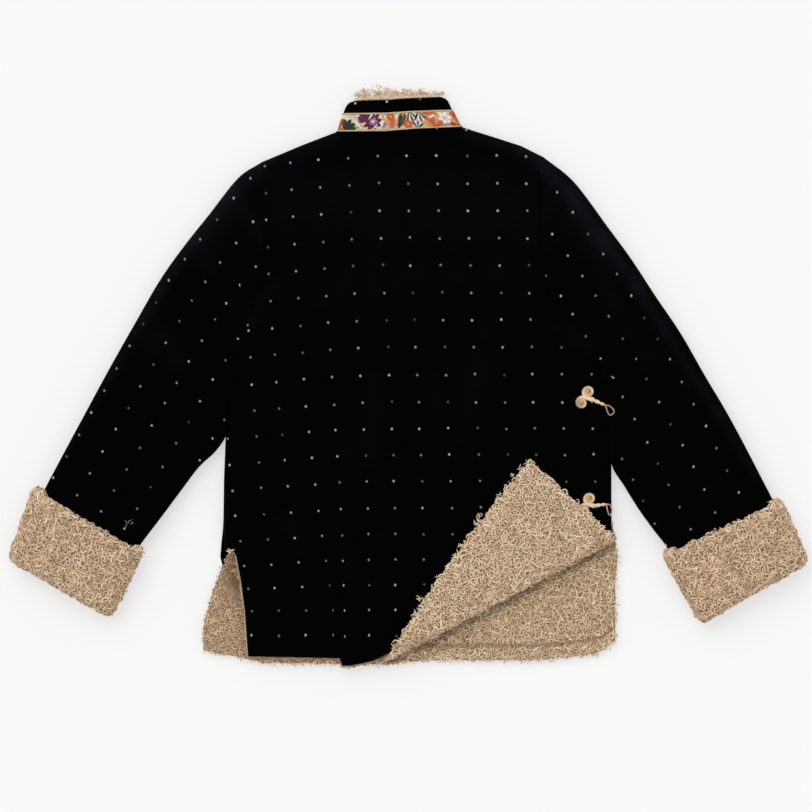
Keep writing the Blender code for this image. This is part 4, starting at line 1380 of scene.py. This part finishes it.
print("frogs:", len(FROGS))

# %% [markdown]
# The ribbon's edges are bound in gold. Its flowers are floss silk, laid in long satin stitches,
# so each petal is a low pillow. They are a free arrangement of the trade's usual flowers and
# leaves.

# %% Gold edging
EDGING_RADIUS = 0.85
for number, level in enumerate((ribbon_levels[0], ribbon_levels[-1])):
    lift = (0.9, -0.9)[number]
    ring = collar_rings([level], [HALF + 0.1])[0]
    ring[:, 1] += lift
    ring[:, 2] = np.maximum(ring[:, 2], EDGING_RADIUS)
    bm = sweep(ring, EDGING_RADIUS, 6, up=(0, 1, 0.01))
    make_piece(bm, ("edging_lower", "edging_upper")[number], EDGING_GOLD)

# %% [markdown]
# Each petal starts as a small ball that is pressed flat and widened towards its tip. A motif is a
# list of petals, placed in the ribbon's own measure: millimetres along it and up it. The last
# step bends that measure on to the sewn ribbon, so no petal can leave it, and lays a second set
# on the front.

# %% Floss flowers
DYES = {
    "plum": (0.12, 0.008, 0.065), "mauve": (0.42, 0.15, 0.32), "pink": (0.82, 0.5, 0.52),
    "orange": (0.72, 0.13, 0.025), "apricot": (0.84, 0.37, 0.17), "rust": (0.36, 0.06, 0.02),
    "green": (0.012, 0.03, 0.014), "moss": (0.06, 0.09, 0.03), "white": (0.92, 0.9, 0.85),
    "straw": (0.75, 0.55, 0.26), "sand": (0.62, 0.42, 0.2), "lilac": (0.62, 0.5, 0.62),
}
PETAL_HEIGHT = 0.5
RIBBON_LENGTH, RIBBON_HEIGHT = 150.0, 22.0
# how near a petal may come to the ribbon's ends and edges, and how far it may stand out
ENDS, EDGES, PILLOW = (0.004, 0.996), (0.055, 0.945), 0.75


def petal(foot, angle, length, width, dye, level=0.0):
    """A pillow of stitches from its foot outwards, at an angle in degrees."""
    bm = bmesh.new()
    bmesh.ops.create_uvsphere(bm, u_segments=12, v_segments=6, radius=0.5)
    stitches = bm.loops.layers.uv.new("stitches")
    colour = bm.verts.layers.float_color.new("dye")
    for vert in bm.verts:
        tip = vert.co.x + 0.5
        vert[colour] = (*[part * (0.62 + 0.5 * tip) for part in DYES[dye]], 1)
        vert.co.y *= 0.45 + 1.1 * tip * (1.35 - tip)
    for face in bm.faces:
        for loop in face.loops:
            loop[stitches].uv = (loop.vert.co.y * width * 1.2, loop.vert.co.x)
    bmesh.ops.translate(bm, vec=(0.5, 0, 0), verts=bm.verts)
    bmesh.ops.scale(bm, vec=(length, width, PETAL_HEIGHT * 2), verts=bm.verts)
    bmesh.ops.rotate(bm, cent=(0, 0, 0), matrix=Matrix.Rotation(math.radians(angle), 3, "Z"),
                     verts=bm.verts)
    bmesh.ops.translate(bm, vec=(*foot, level), verts=bm.verts)
    return bm


def blossom(centre, count, reach, dye, heart, start=0.0, level=0.0):
    """Petals round a heart."""
    width = reach * 3.4 / count + 1.2
    made = [petal(centre, start + 360 * k / count, reach, width, dye, level + 0.06 * (k % 2))
            for k in range(count)]
    size = reach * 0.6
    return made + [petal((centre[0] - size / 2, centre[1]), 0, size, size, heart, level + 0.3)]


def spray(foot, angles, length, width, dyes, level=0.0):
    """Leaves or plumes that fan out from one foot."""
    return [petal(foot, angle, length, width, dyes[k % len(dyes)], level + 0.04 * k)
            for k, angle in enumerate(angles)]


motifs = [
    spray((0.5, 2), (18, 48, 78), 14, 8, ("orange", "apricot", "rust")),
    spray((9, 1.2), (8, 34, 70, 104), 14, 7, ("green",), 0.1),
    [petal((11, 20), -44, 27, 4, "white", 0.1), petal((14, 21), -44, 26, 1.2, "straw", 0.3)],
    spray((20, 3), (14, 40), 12, 3, ("sand", "straw")),
    spray((36, 15), (150, 176, 200), 14, 7, ("plum",)),
    blossom((42, 10.5), 9, 12.0, "plum", "pink", 10),
    blossom((43, 10.5), 5, 5.6, "mauve", "white", 0, 0.25),
    [petal((36, 13), 52, 9, 2.4, "white", 0.6), petal((49, 8), 232, 9, 2.2, "white", 0.6)],
    spray((56, 20), (-34, -66, -100), 8, 3.4, ("straw", "white", "apricot")),
    spray((55, 2), (22, 62, 104), 8.5, 4, ("lilac", "mauve", "white")),
    spray((66, 1.5), (48, 84, 122), 18, 7.5, ("apricot", "orange", "apricot")),
    blossom((65, 16), 5, 5.4, "orange", "straw", 20, 0.2),
    spray((74, 0.8), (74, 58), 21, 6.5, ("green", "moss"), 0.15),
    blossom((86, 6), 6, 6.6, "orange", "apricot", 12, 0.1),
    spray((84, 21), (-150, -118), 9, 4, ("apricot", "orange")),
    [petal((90, 6), 20, 14, 7, "pink"), petal((92, 14), -12, 14, 7, "lilac")],
    spray((90, 21.5), (-44, -60, -76, -92, -110), 13, 2.4, ("green", "white"), 0.3),
    spray((102, 21.5), (-50, -66, -82, -98, -120), 14, 2.4, ("green", "white"), 0.3),
    spray((97, 1), (30, 52, 74, 96, 120), 10, 2.2, ("green", "white"), 0.3),
    spray((118, 2), (28, 58, 90, 122, 150), 17, 8, ("orange", "apricot", "orange")),
    [petal((106, 19), -3, 21, 5, "orange", 0.3), petal((112, 12), 24, 12, 4, "white", 0.35)],
    blossom((134, 12), 6, 8.2, "white", "straw", 8, 0.2),
    spray((149, 1.5), (82, 108, 134, 160), 13, 7, ("rust", "orange", "apricot")),
    spray((149, 20), (-110, -150), 9, 5, ("rust", "orange")),
    spray((126, 1.5), (12, -2), 12, 3, ("mauve", "lilac")),
]
flowers = join_meshes([part for motif in motifs for part in motif])
bottom_left, top_left = Vector((-89.6, 305.8)), Vector((-83.2, 328.2))
bottom_right, top_right = Vector((66.9, 311.8)), Vector((56.2, 332.7))
for vert in flowers.verts:
    along = min(max(vert.co.x / RIBBON_LENGTH, ENDS[0]), ENDS[1])
    up = min(max(vert.co.y / RIBBON_HEIGHT, EDGES[0]), EDGES[1])
    place = bottom_left.lerp(bottom_right, along).lerp(top_left.lerp(top_right, along), up)
    inset = min(min(along, 1 - along) * RIBBON_LENGTH, HALF)
    bow = math.sqrt(max(HALF ** 2 - (HALF - inset) ** 2, 0.0))
    vert.co = (place.x, place.y, HALF + bow + min(vert.co.z, PILLOW) - 0.12)
front = flowers.copy()
bmesh.ops.scale(front, vec=(1, 1, -1), verts=front.verts)
bmesh.ops.translate(front, vec=(0, 0, 2 * HALF), verts=front.verts)
bmesh.ops.reverse_faces(front, faces=front.faces)
for vert in front.verts:
    vert.co.z = max(vert.co.z, 0.02)
flowers = join_meshes([flowers, front])
ribbon_flowers = make_piece(flowers, "ribbon_flowers", FLOSS)
print("petals:", sum(len(motif) for motif in motifs) * 2)

# %% [markdown]
# Fleece curls are the finest thing here, so they are made once and spread by Geometry Nodes. Each
# lock is a short tube of three sides, bent like yarn that was knitted and unravelled. The nodes
# scatter the locks over a ground, stand them on its normals, spin, tilt and scale each by its own
# chance, and then make the copies real, so that the finished piece is one plain mesh.

# %% Locks of fleece
LOCKS = (
    # length, bend at the start and at the end (degrees for the whole length), height, radius
    (15.0, 420, 300, 1.5, 1.0),
    (14.0, 330, -330, 1.3, 0.96),
    (17.0, 600, 260, 1.7, 0.92),
    (12.0, 260, 420, 1.1, 1.04),
    (16.0, -200, 520, 1.6, 0.94),
    (11.0, 120, 300, 1.2, 1.0),
)
LOCK_STEPS = 8


def lock_path(length, bend_start, bend_end, tall, wobble):
    """The bent middle line of one lock, lying round its own centre."""
    heading, place, path = 0.0, np.zeros(3), []
    for step in range(LOCK_STEPS + 1):
        share = step / LOCK_STEPS
        path.append(place.copy())
        heading += math.radians(bend_start + (bend_end - bend_start) * share) / LOCK_STEPS
        place += np.array((math.cos(heading), math.sin(heading), 0)) * length / LOCK_STEPS
    path = np.array(path)
    path[:, :2] -= path[:, :2].mean(axis=0)
    shares = np.linspace(0, 1, LOCK_STEPS + 1)
    path[:, 2] = tall * np.sin(np.pi * shares) ** 0.7 + 0.25 * np.sin(shares * 9 + wobble) - 0.2
    return path


def lock_mesh(path, radius, sides, lift_low, lift_high):
    """A tapered lock whose attribute "lift" runs from its lowest points to its highest."""
    shares = np.linspace(0, 1, len(path))
    bm = sweep(path, radius * np.interp(shares, (0, 0.15, 0.85, 1), (0.45, 1, 1, 0.4)), sides)
    lift = bm.verts.layers.float.new("lift")
    for vert in bm.verts:
        vert[lift] = min(max((vert.co.z - lift_low) / (lift_high - lift_low), 0), 1)
    return bm


locks = bpy.data.collections.new("locks")
for number, (length, bend_start, bend_end, tall, radius) in enumerate(LOCKS):
    path = lock_path(length, bend_start, bend_end, tall, number)
    bm = lock_mesh(path, radius, 3, -0.9, tall + radius * 0.8)
    bmesh.ops.scale(bm, vec=(MM, MM, MM), verts=bm.verts)
    name = f"lock_{number}"
    locks.objects.link(bpy.data.objects.new(name, bmesh_to_mesh(bm, name, FLEECE_CURLS)))
bpy.context.scene.collection.children.link(locks)

# %% [markdown]
# The scattering is one node tree with a few inputs, so that each fleece can have its own spacing,
# size of lock and seed. The attribute "cover" says where the locks may grow.


# %% Scattering nodes
def random_value(tree, low, high, seed, kind="FLOAT"):
    """A number, or a vector, of its own for each point."""
    first, out = (2, 1) if kind == "FLOAT" else (0, 0)
    return add_node(tree, "FunctionNodeRandomValue", {first: low, first + 1: high, "Seed": seed},
                    data_type=kind).outputs[out]


def scatter_nodes():
    """Locks on a ground, where its attribute "cover" lets them."""
    tree, (ground, spacing, seed, size, lean, darkest, lightest), out = new_group(
        "scatter_locks", [("Geometry", "NodeSocketGeometry"), ("Spacing", FLOAT),
                          ("Seed", "NodeSocketInt"), ("Size", FLOAT), ("Lean", FLOAT),
                          ("Darkest", FLOAT), ("Lightest", FLOAT)],
        [("Geometry", "NodeSocketGeometry")], "GeometryNodeTree")
    cover = add_node(tree, "GeometryNodeInputNamedAttribute", {"Name": "cover"}, data_type="FLOAT")
    spread = add_node(tree, "GeometryNodeDistributePointsOnFaces", {
        "Mesh": ground, "Distance Min": spacing, "Density Max": 600000.0,
        "Density Factor": cover.outputs["Attribute"], "Seed": seed}, distribute_method="POISSON")
    chosen = add_node(tree, "GeometryNodeCollectionInfo", {
        "Collection": locks, "Separate Children": True, "Reset Children": True})
    back = sums(tree, "MULTIPLY", lean, -1.0)
    least = add_node(tree, "ShaderNodeCombineXYZ", {"X": back, "Y": back})
    most = add_node(tree, "ShaderNodeCombineXYZ", {"X": lean, "Y": lean, "Z": 2 * math.pi})
    turn = random_value(tree, least.outputs[0], most.outputs[0], seed, "FLOAT_VECTOR")
    turned = add_node(tree, "FunctionNodeRotateRotation", {
        "Rotation": spread.outputs["Rotation"], "Rotate By": turn}, rotation_space="LOCAL")
    placed = add_node(tree, "GeometryNodeInstanceOnPoints", {
        "Points": spread.outputs["Points"], "Instance": chosen.outputs[0], "Pick Instance": True,
        "Rotation": turned.outputs[0],
        "Scale": sums(tree, "MULTIPLY", random_value(tree, 0.75, 1.2, 7), size)})
    marked = add_node(tree, "GeometryNodeStoreNamedAttribute", {
        "Geometry": placed.outputs[0], "Name": "tone",
        "Value": random_value(tree, darkest, lightest, 3)}, data_type="FLOAT", domain="INSTANCE")
    real = add_node(tree, "GeometryNodeRealizeInstances", {"Geometry": marked.outputs[0]})
    tree.links.new(real.outputs[0], out[0])
    return tree


SCATTER = scatter_nodes()
FLOOR_SOFTNESS = 2.5


def vectors_of(mesh, name):
    """One vector of each point of a mesh, as rows."""
    values = np.empty(len(mesh.vertices) * 3, np.float32)
    mesh.vertices.foreach_get(name, values)
    return values.reshape(-1, 3)


def curls_on(ground, name, spacing, size, tones, seed, cover, lean=0.42, shade=None):
    """Scatters locks over a ground as one plain mesh.

    `cover` is given four rows, the points' x, y and z in millimetres and how far they face up, and
    says how densely locks grow there. `shade` paints shade on the finished locks by their place.
    """
    mesh = ground.data.copy()
    finer = bmesh.new()
    finer.from_mesh(mesh)
    bmesh.ops.subdivide_edges(finer, edges=finer.edges, cuts=1, use_grid_fill=True)
    finer.to_mesh(mesh)
    finer.free()
    at = np.vstack([vectors_of(mesh, "co").T / MM, vectors_of(mesh, "normal")[:, 2]])
    density = mesh.attributes.new("cover", "FLOAT", "POINT").data
    density.foreach_set("value", cover(at).astype(np.float32))
    draft = in_scene(bpy.data.objects.new("draft", mesh))
    scatter = draft.modifiers.new("scatter", "NODES")
    scatter.node_group = SCATTER
    chosen = {"Spacing": spacing * MM, "Seed": seed, "Size": size, "Lean": lean,
              "Darkest": tones[0], "Lightest": tones[1]}
    for item in SCATTER.interface.items_tree:
        if item.name in chosen:
            scatter[item.identifier] = chosen[item.name]
    graph = bpy.context.evaluated_depsgraph_get()
    graph.update()
    made = bpy.data.meshes.new_from_object(draft.evaluated_get(graph))
    bpy.data.objects.remove(draft)
    places = vectors_of(made, "co")
    soft = FLOOR_SOFTNESS * MM
    low = places[:, 2] < soft
    places[low, 2] = soft * np.exp((places[low, 2] - soft) / soft)
    made.vertices.foreach_set("co", places.reshape(-1))
    if shade:
        lift = np.empty(len(made.vertices), np.float32)
        lifts = made.attributes["lift"].data
        lifts.foreach_get("value", lift)
        lifts.foreach_set("value", lift * shade(*places.T[:2] / MM).astype(np.float32))
    made.name = name
    made.shade_smooth()
    print(f"{name}: {len(made.polygons)} faces")
    return ride_and_slot(in_scene(bpy.data.objects.new(name, made)))


print("scattering nodes:", len(SCATTER.nodes))

# %% [markdown]
# Only fleece that can be seen or touched gets curls: all round the cuffs, the turned corner, the
# front lining where nothing covers it, the hem and vent edges, and the collar's band. The side
# that lies on the table needs fewer. A second, sparser pass sets bigger tufts on the turned edges
# of the cuffs, on the rolled fold and along the corner's free edges, which is where real pile
# stands out. Each rule below is given rows X, Y and Z in millimetres, and UP, which is 1 where
# the ground faces up.


# %% Where curls grow
VENT_CURLS_X = -190.0
ROLL_FROM = -2.0
SHADE_PAST, SHADE_WIDTH = 12.0, 6.0
# the hollow at the top of the vent, where the curls get painted shade
HOLLOW = {"centre": (-217.0, -249.0), "widths": (13.0, 29.0)}
TURNED_UP = 2 * HALF + 1.0
TUFT_BAND = 11
X, Y, Z, UP = range(4)


def past_line(x, y):
    """How far a place lies past the crease, in millimetres."""
    return (x - CREASE_START.x) * past_crease.x + (y - CREASE_START.y) * past_crease.y


def beyond_back(x, y):
    """How far a place lies outside the laid back panel, in millimetres; less than 0 inside."""
    left = reading(BACK["left"], y) - x
    low = reading(BACK["hem"], x) - y
    right = x - reading(BACK["right"], y)
    return np.maximum.reduce([past_line(x, y) - 5, np.where(y < VENT_Y + 4, left, -99), low,
                              np.where(y < CLOSED_RIGHT_Y, right, -99)])


def shade_front(x, y):
    """Painted shade on the curls: darker under the roll, in the hem's groove and in the vent."""
    run = (x - CREASE_START.x) * along_crease.x + (y - CREASE_START.y) * along_crease.y
    uneven = 0.66 + 0.34 * np.sin(run / 9) * np.sin(run / 23 + 1)
    below_roll = (np.exp(-((past_line(x, y) - SHADE_PAST) / SHADE_WIDTH) ** 2) * (x > -30)
                  * uneven)
    groove = np.exp(-((y - reading(FRONT["hem"], x) - HEM_GROOVE) / 3) ** 2) * (x > GROOVE_FROM)
    (middle_x, middle_y), (wide, tall) = HOLLOW["centre"], HOLLOW["widths"]
    hollow = np.exp(-((x - middle_x) / wide) ** 2 - ((y - middle_y) / tall) ** 2)
    return 1 - np.clip(0.6 * below_roll + 0.5 * groove + 0.95 * hollow, 0, 0.93)


def cover_front(at):
    """Where the back doesn't hide the front lining; fewer curls in its dark places."""
    x, y = at[:2]
    above_hem = y - reading(FRONT["hem"], x)
    groove = np.where(x > GROOVE_FROM, np.exp(-((above_hem - HEM_GROOVE) / 2.2) ** 2), 0)
    return ease(-6, -1, beyond_back(x, y)) * (1 - 0.75 * groove) * (0.3 + 0.7 * shade_front(x, y))


def cover_back(at):
    """The turned corner, and the lining's edges at the vent and the hem."""
    x, y, z = at[:3]
    edge = (y < VENT_Y + 6) & (x < reading(BACK["left"], y) + 4)
    low = (y < -340) & (y < reading(BACK["hem"], x) + 4)
    return ((z > TURNED_UP) | edge | low | (past_line(x, y) > 0.5)).astype(float)


def tufts_back(at):
    """The rolled fold, and the free edges of the corner, found by laying the corner out again."""
    x, y, z = at[:3]
    landed = past_line(x, y)
    out = math.pi * FOLD_NEUTRAL - 2 * landed
    cut_x, cut_y = x + past_crease.x * out, y + past_crease.y * out
    free = (cut_y < reading(BACK["hem"], cut_x) + 3) | (cut_x > reading(BACK["right"], cut_y) - 4)
    return (((z > TURNED_UP) & (landed < -4) & free) | (landed > 3)).astype(float)


def tufts_cuff(corners):
    """The rule for the turned edge of a cuff, which is the line between its two top corners."""
    outer, inner = corners["top outer"], corners["top inner"]
    down = corners["end outer"] - outer
    across = unit(inner - outer)
    square = np.array((-across[1], across[0])) * (-1 if down @ (-across[1], across[0]) < 0 else 1)
    return lambda at: (((at[:2].T - outer) @ square < TUFT_BAND) & (at[UP] > -0.2)).astype(float)


COVERS = {
    "cuff": lambda at: np.where(at[UP] < -0.3, 0.35, 1.0),
    "front": lambda at: cover_front(at) * (at[X] > VENT_CURLS_X),
    "vent": lambda at: cover_front(at) * (at[X] <= VENT_CURLS_X),
    # the outer half of the rolled fold, where the pile opens and hides the line of the fold
    "roll": lambda at: ((at[Z] > FOLD_AXIS - 3) & (past_line(*at[:2]) > ROLL_FROM)).astype(float),
    "collar": lambda at: (at[Y] > 344 + (at[X] + 70) * 0.03).astype(float),
}

for hand, corners, seed in (("left", CUFF_LEFT, 11), ("right", CUFF_RIGHT, 12)):
    [curls_on(cuffs[hand], f"cuff_{hand}_{label}", *row) for label, *row in (
        ("curls", 2.4, 1.06, (-0.15, 0.8), seed, COVERS["cuff"]),
        ("tufts", 3.9, 1.4, (0.2, 1.0), seed + 10, tufts_cuff(corners), 0.75))]
back_curls = [curls_on(back_fleece, *row) for row in (
    # name, spacing, size, tones, seed, cover, lean
    ("back_fleece_curls", 2.55, 0.88, (0.15, 1.15), 13, cover_back),
    ("back_fleece_tufts", 4.6, 1.2, (0.2, 1.1), 23, tufts_back),
    ("back_fleece_roll", 3.3, 1.25, (-0.3, 1.1), 33, COVERS["roll"], 1.0))]
front_curls = [curls_on(front_fleece, *row, shade=shade_front) for row in (
    ("front_fleece_curls", 2.55, 0.88, (0.0, 1.05), 14, COVERS["front"]),
    # the vent's curls get darker tones too: painted shade in the vent
    ("vent_fleece_curls", 2.3, 0.8, (-0.45, 0.7), 24, COVERS["vent"]))]
collar_curls = curls_on(collar_fleece, "collar_band_curls", 1.8, 0.48, (0.7, 1.3), 15,
                        COVERS["collar"])
for lock in list(locks.objects):
    bpy.data.objects.remove(lock)
bpy.data.collections.remove(locks)

# %% [markdown]
# Some wisps have to be where the photograph has them, so they are placed one by one: the loose
# curls that stand along the flap's free edge and over the vent, one fallen on the left sleeve,
# and the airy rim of the collar, which is higher on the left and thins out to the right. Each row
# of the table is a tuft of a few thin curls.

# %% Loose wisps
WISPS = (
    # x, y, z, turn in degrees, size
    (140, -115.6, 21, 30, 0.6), (131.6, -124.8, 21, 200, 0.55), (121.8, -138.4, 22, 70, 0.65),
    (113.2, -149.4, 22, 150, 0.65), (109, -156.2, 21, 10, 0.55), (88, -176, 22, 100, 0.65),
    (83, -184.2, 21, 220, 0.5), (66, -212, 21, 60, 0.55), (49.4, -243.4, 21, 170, 0.6),
    (38, -250.2, 21, 20, 0.5), (12.6, -277.8, 21, 120, 0.65), (-2, -314.8, 21, 50, 0.45),
    (150, -107.6, 22, 250, 0.6), (156, -111.6, 22, 10, 0.5), (187.4, -151.4, 21, 330, 0.5),
    (-225, -220, 17, 80, 0.5), (-219, -216, 17, 200, 0.45),
)
FALLEN = (
    (-352.6, -184.5, 26.4, 100, 0.6), (-348, -181.5, 26.4, 230, 0.45), (-345, -184, 26.4, 20, 0.4),
)
WISP_RADIUS = 0.36
WISPS_IN_TUFT = 4
chance = np.random.default_rng(5)


def wisp(place, turn, size, tilt=0.0, radius=WISP_RADIUS, lit=1.0, shade=1.1):
    """One thin curl, turned in the plan and tilted up out of it."""
    length, bend_start, bend_end, tall, _ = LOCKS[int(chance.integers(len(LOCKS)))]
    path = lock_path(length * 1.1, bend_start * 0.8, bend_end * 0.8, tall * 0.5, turn) * size
    bm = lock_mesh(path, radius, 4, -1.5, 1.0)
    tone = bm.verts.layers.float.new("tone")
    lift = bm.verts.layers.float["lift"]
    for vert in bm.verts:
        vert[tone] = shade
        # the lift carries the painted pile shade; `lit` below 1 darkens the whole wisp
        vert[lift] = (0.45 + 0.55 * vert[lift]) * lit
    spin = Matrix.Rotation(math.radians(turn), 3, "Z")
    spin = Matrix.Rotation(tilt, 3, "X") @ spin
    bmesh.ops.rotate(bm, cent=(0, 0, 0), matrix=spin, verts=bm.verts)
    bmesh.ops.translate(bm, vec=place, verts=bm.verts)
    return bm


loose = [wisp(row[:3], row[3], row[4], 0.0, 0.3, 0.28) for row in FALLEN]
for x, y, z, turn, size in WISPS:
    for number in range(WISPS_IN_TUFT):
        spot = Vector((x, y, z)) + Vector(chance.uniform(-2.6, 2.6, 3)) * (number > 0)
        loose.append(wisp(spot, turn + 83 * number, size * (1 - 0.1 * number)))
loose_wisps = make_piece(join_meshes(loose), "loose_wisps", FLEECE_CURLS)

RIM_WISPS = 240
rim = []
for number in range(RIM_WISPS):
    x = float(chance.uniform(COLLAR_LEVELS[-1][0] + 2, COLLAR_LEVELS[-1][2] + 1))
    foot = RIM_FOOT + 0.5 + 0.02 * (x + 70)
    reach = max(float(reading(RIM_TOP, x)) - foot, 1.5)
    y = foot + (reach + 1.0) * float(chance.uniform(0, 1)) ** 1.5
    z = HALF + float(chance.uniform(-3.6, 3.6)) * (1 - 0.5 * (y - foot) / (reach + 1))
    rim.append(wisp((x, y, z), float(chance.uniform(0, 360)), float(chance.uniform(0.32, 0.62)),
                    float(chance.uniform(-1.0, 1.0)), 0.42, float(chance.uniform(0.45, 1.0)),
                    float(chance.uniform(0.3, 1.1))))
rim_wisps = make_piece(join_meshes(rim), "collar_rim_wisps", FLEECE_CURLS)
print("wisps:", len(loose) + RIM_WISPS)

# %% [markdown]
# The wool's cut edge at the vent is bound by a narrow turning of the lining's pale backing, which
# the photograph shows as a light line from the vent's top to the hem.

# %% The vent's turned edge
TURNING = {"end y": -352.0, "radius": 1.1, "depth": 1.9, "outside": 0.6}
ys = np.linspace(VENT_Y - 3, TURNING["end y"], 40)
xs = reading(BACK["left"], ys) - TURNING["outside"]
edge_path = np.column_stack([xs, ys, np.full_like(ys, 2 * HALF - TURNING["depth"])])
vent_edge = make_piece(sweep(edge_path, TURNING["radius"]), "vent_edge_turning", EDGING_FLEECE)
print("vent edge:", round(float(ys[0] - ys[-1])), "mm")

# %% [markdown]

print("all pieces are made")
